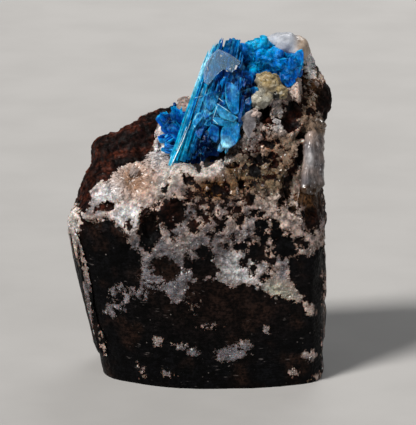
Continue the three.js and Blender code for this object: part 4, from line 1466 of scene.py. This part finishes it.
def cap():
    """The white crystal on the peak, tan and fibrous at its right."""
    body = lump("stilbite_cap", MINERAL_VOXEL, 24, 2.4, 0.1, 101)
    tint = np.outer(1 + 0.1 * fractal(body.points, 1.2, 3, 102), LILAC_WHITE)
    fibres = 0.75 + 0.4 * perlin(body.points * (1.8, 1.8, 0.6), 103)
    tint = mixed(tint, np.outer(fibres, FIBROUS), smoothstep(291, 299, seen(body.points)[:, 0]))
    pile = Pile()
    pile.cover(body, tint=shaded(body, tint))
    pile.build("white_cap", [MILKY], "stilbite", "stilbite_cap")


def honey():
    """Blocky crystals grown together, golden at the upper right, with a dark gash across them that is
    painted shadow.
    """
    random = np.random.default_rng(11)
    body = lump("honey_zeolite_cluster", HONEY_VOXEL, 9, 1.3, 0.34, 104)
    pixels = seen(body.points)
    upper_right = 0.6 * (pixels[:, 0] - 266) - (pixels[:, 1] - 92)
    gold = smoothstep(-8, 14, upper_right + 12 * fractal(body.points, 1.4, 2, 105))
    tint = shaded(body, mixed(HONEY_PALE, HONEY_DEEP, gold))
    # painted shadow of the gap across the crystals
    tint = mixed(tint, SHADOW_AND_DARK_ROCK, smoothstep(-0.15, 0.1, ellipse(pixels, *HONEY_GAP_SHADOW)))
    pile = Pile()
    pile.cover(body, tint=tint)
    count = HONEY_GRAINS
    chosen = random.choice(len(body.points), count)
    normal = body.normals(2)[chosen]
    axis = unit(normal + 0.5 * random.normal(size=(count, 3)))
    wide = random.uniform(0.25, 0.8, count)
    across, long = random.normal(size=(count, 3)), random.uniform(0.62, 0.85, count)
    thick = wide * random.uniform(0.6, 1, count)
    points, faces = laths(body.points[chosen] - axis * 0.6, axis, across, long, wide, thick, 0.25)
    grain_tint = tint[chosen] * random.uniform(0.85, 1.2, (count, 1))
    pile.add(points, faces, tint=grain_tint.repeat(LATH_POINTS, 0))
    pile.build("honey_crystals", [HONEY], "honey_zeolite", "honey_zeolite_cluster")


def right_laths():
    """The upright column of clear laths at the right edge, with a painted highlight."""
    body = lump("right_stilbite_sheaf", MINERAL_VOXEL, 8, 2.6, 0.24, 106)
    behind = smoothstep(-0.2, 0.6, body.normals(6)[:, 1]) * smoothstep(24, 27.5, body.points[:, 2])
    body.points[:, 1] += 1.8 * behind
    flutes = fractal(body.points * (1, 1, 0.2), 1.3, 3, 107)
    body.move(body.normals(2), 0.1 * flutes)
    pixels = seen(body.points)
    tint = mixed(PINK_ZEOLITE, GREY_ZEOLITE, 0.5 + perlin(body.points / 1.5, 108))
    # painted highlight: a white spot on the column
    tint = mixed(tint, WHITE_ZEOLITE, 1.2 * soft_spot(pixels, 308, 160, 4, 8))
    edge = pixels[:, 1] + 4 * perlin(body.points / 1.2, 110)
    tint = mixed(tint, np.array(OCHRE) * 0.6, smoothstep(182, 188, edge))
    tint = mixed(tint, WALL_ZEOLITE, smoothstep(142, 130, pixels[:, 1] + 5 * perlin(body.points / 0.8, 109)))
    tint = mixed(tint, OCHRE, 0.8 * smoothstep(304, 298, pixels[:, 0] + 0.1 * (pixels[:, 1] - 160)))
    # painted shade in hollows, and lighter along the raised flutes
    tint = shaded(body, tint) * (1 + 0.3 * flutes)[:, None]
    pile = Pile()
    pile.cover(body, tint=tint, streak=body.points * (1, 1, 0.12))
    random = np.random.default_rng(13)
    top = np.tile(WALL_ZEOLITE, (len(flutes), 1))
    druse(pile, body, top, smoothstep(137, 124, pixels[:, 1]), 160, random, (0.3, 0.9), (0.25, 0.6), 0.9)
    pile.build("right_laths", [GLASSY], "stilbite", "right_stilbite_sheaf")


PLATE = [
    (218, 53), (229, 58), (240, 65), (237, 70), (232, 75), (223, 72), (215, 78), (208, 86), (204, 83),
    (204, 74), (207, 65), (213, 57),
]
PLATE_Y = -3.8
PLATE_SPARKS = [
    (231, 68), (235, 70), (238, 67), (234, 74), (229, 72), (226, 73), (237, 71), (221, 58), (208, 72),
    (206, 81),
]


def clear_plate():
    """A see-through plate with a few white crystals on its front."""
    outline, through = leaning_slab(PLATE, PLATE_Y, (0.12, 0.25))
    points, faces, edges = slab(outline, through, 0.45, 0.35, 0.1)
    pile = Pile()
    pile.add(points, faces, rim=edges)
    random = np.random.default_rng(12)
    places, _ = hits(pile.tree(), PLATE_SPARKS)
    size = random.uniform(0.15, 0.5, len(places))
    axis, across = random.normal(size=(2, len(places), 3))
    points, faces = laths(places, axis, across, size, size, 0.3 * size)
    pile.add(points, faces, 1, tint=np.tile(WHITE_ZEOLITE, (len(points), 1)))
    pile.build("clear_plate", [CLEAR, MILKY], "clear_zeolite", "clear_stilbite_plate")


# ---- the setting ----


def lamp(name, kind, place, aim, power, colour, **settings):
    """A light at a place that shines towards another, in metres."""
    light = bpy.data.lights.new(name, kind)
    light.energy = power
    light.color = colour
    for key, value in settings.items():
        setattr(light, key, value)
    made = new_object(name, light)
    made.location = place
    made.rotation_euler = (Vector(aim) - Vector(place)).to_track_quat("-Z", "Y").to_euler()


FLOOR_RADIUS = 3  # m
FLOOR_CORNERS = 64


def floor():
    """A pale round floor."""
    mesh = bpy.data.meshes.new("floor")
    turns = [2 * math.pi * i / FLOOR_CORNERS for i in range(FLOOR_CORNERS)]
    corners = [(FLOOR_RADIUS * math.cos(turn), FLOOR_RADIUS * math.sin(turn), 0) for turn in turns]
    mesh.from_pydata(corners, [], [tuple(range(FLOOR_CORNERS))])
    look = Shader("pale_floor")
    colour = look.mix(look.clouds(14, 3, 0.3, 0.7), linear(158, 156, 154), linear(163, 161, 159))
    mesh.materials.append(look.finish(colour, 0.8))
    plane = new_object("floor", mesh)


SUN_PLACE = (-0.6, -0.6, 1.0)
SUN_SOFTNESS = math.radians(14)
LAMP_AIM = (0, 0, 0.02)


def studio():
    """Soft light: a wide sun from the upper left, a weak fill in front and one behind."""
    world = bpy.data.worlds.new("studio")
    world.use_nodes = True
    background = world.node_tree.nodes["Background"]
    background.inputs["Color"].default_value = (0.86, 0.88, 0.9, 1)
    background.inputs["Strength"].default_value = 0.12
    bpy.context.scene.world = world
    lamp("key", "SUN", SUN_PLACE, (0, 0, 0), 4.4, (1.0, 0.98, 0.95), angle=SUN_SOFTNESS)
    lamp("fill", "AREA", (0.3, -0.4, 0.12), LAMP_AIM, 0.6, (0.95, 0.97, 1.0), shape="DISK", size=0.2)
    lamp("back", "AREA", (0.1, 0.4, 0.35), LAMP_AIM, 0.8, (1.0, 1.0, 1.0), shape="DISK", size=0.25)


def photograph():
    """The camera at the photograph's angle, far off, so that a pixel is PIXEL mm wide at the specimen."""
    scene = bpy.context.scene
    scene.view_settings.view_transform = "Standard"
    camera = bpy.data.cameras.new("camera")
    camera.sensor_width = 36
    camera.lens = camera.sensor_width * DISTANCE / (max(PHOTO_SIZE) * PIXEL)
    camera.clip_end = 20
    eye = new_object("camera", camera)
    aim = placed(PHOTO_SIZE[0] / 2, PHOTO_SIZE[1] / 2, 0)
    back = np.array([0, -math.cos(ELEVATION), math.sin(ELEVATION)])
    eye.location = (aim + back * DISTANCE) * MM
    eye.rotation_euler = (math.pi / 2 - ELEVATION, 0, 0)
    scene.camera = eye


MATRIX = matrix_material()
ZEOLITE = zeolite_material()
CAVANSITE = cavansite_material()
MILKY = milky_material("milky_cap", 1.0)
HONEY = milky_material("honey_zeolite", 0.6, Transmission_Weight=0.25, IOR=1.5)
GLASSY = glassy_material()
CLEAR = clear_material()

floor()
studio()
photograph()
rock, rock_pale, rock_colour = basalt()
rock_tree = tree_of(rock)
lining, outer, lining_pale, lining_colour = crust(rock_tree)
lining_tree = tree_of(lining)
lining_crystals(lining, outer, lining_pale, lining_colour, lining_tree)
rock_crystals(rock, rock_pale, rock_colour)
front_spray()
rear_spray()
coat(rock_tree)
cap()
honey()
right_laths()
clear_plate()
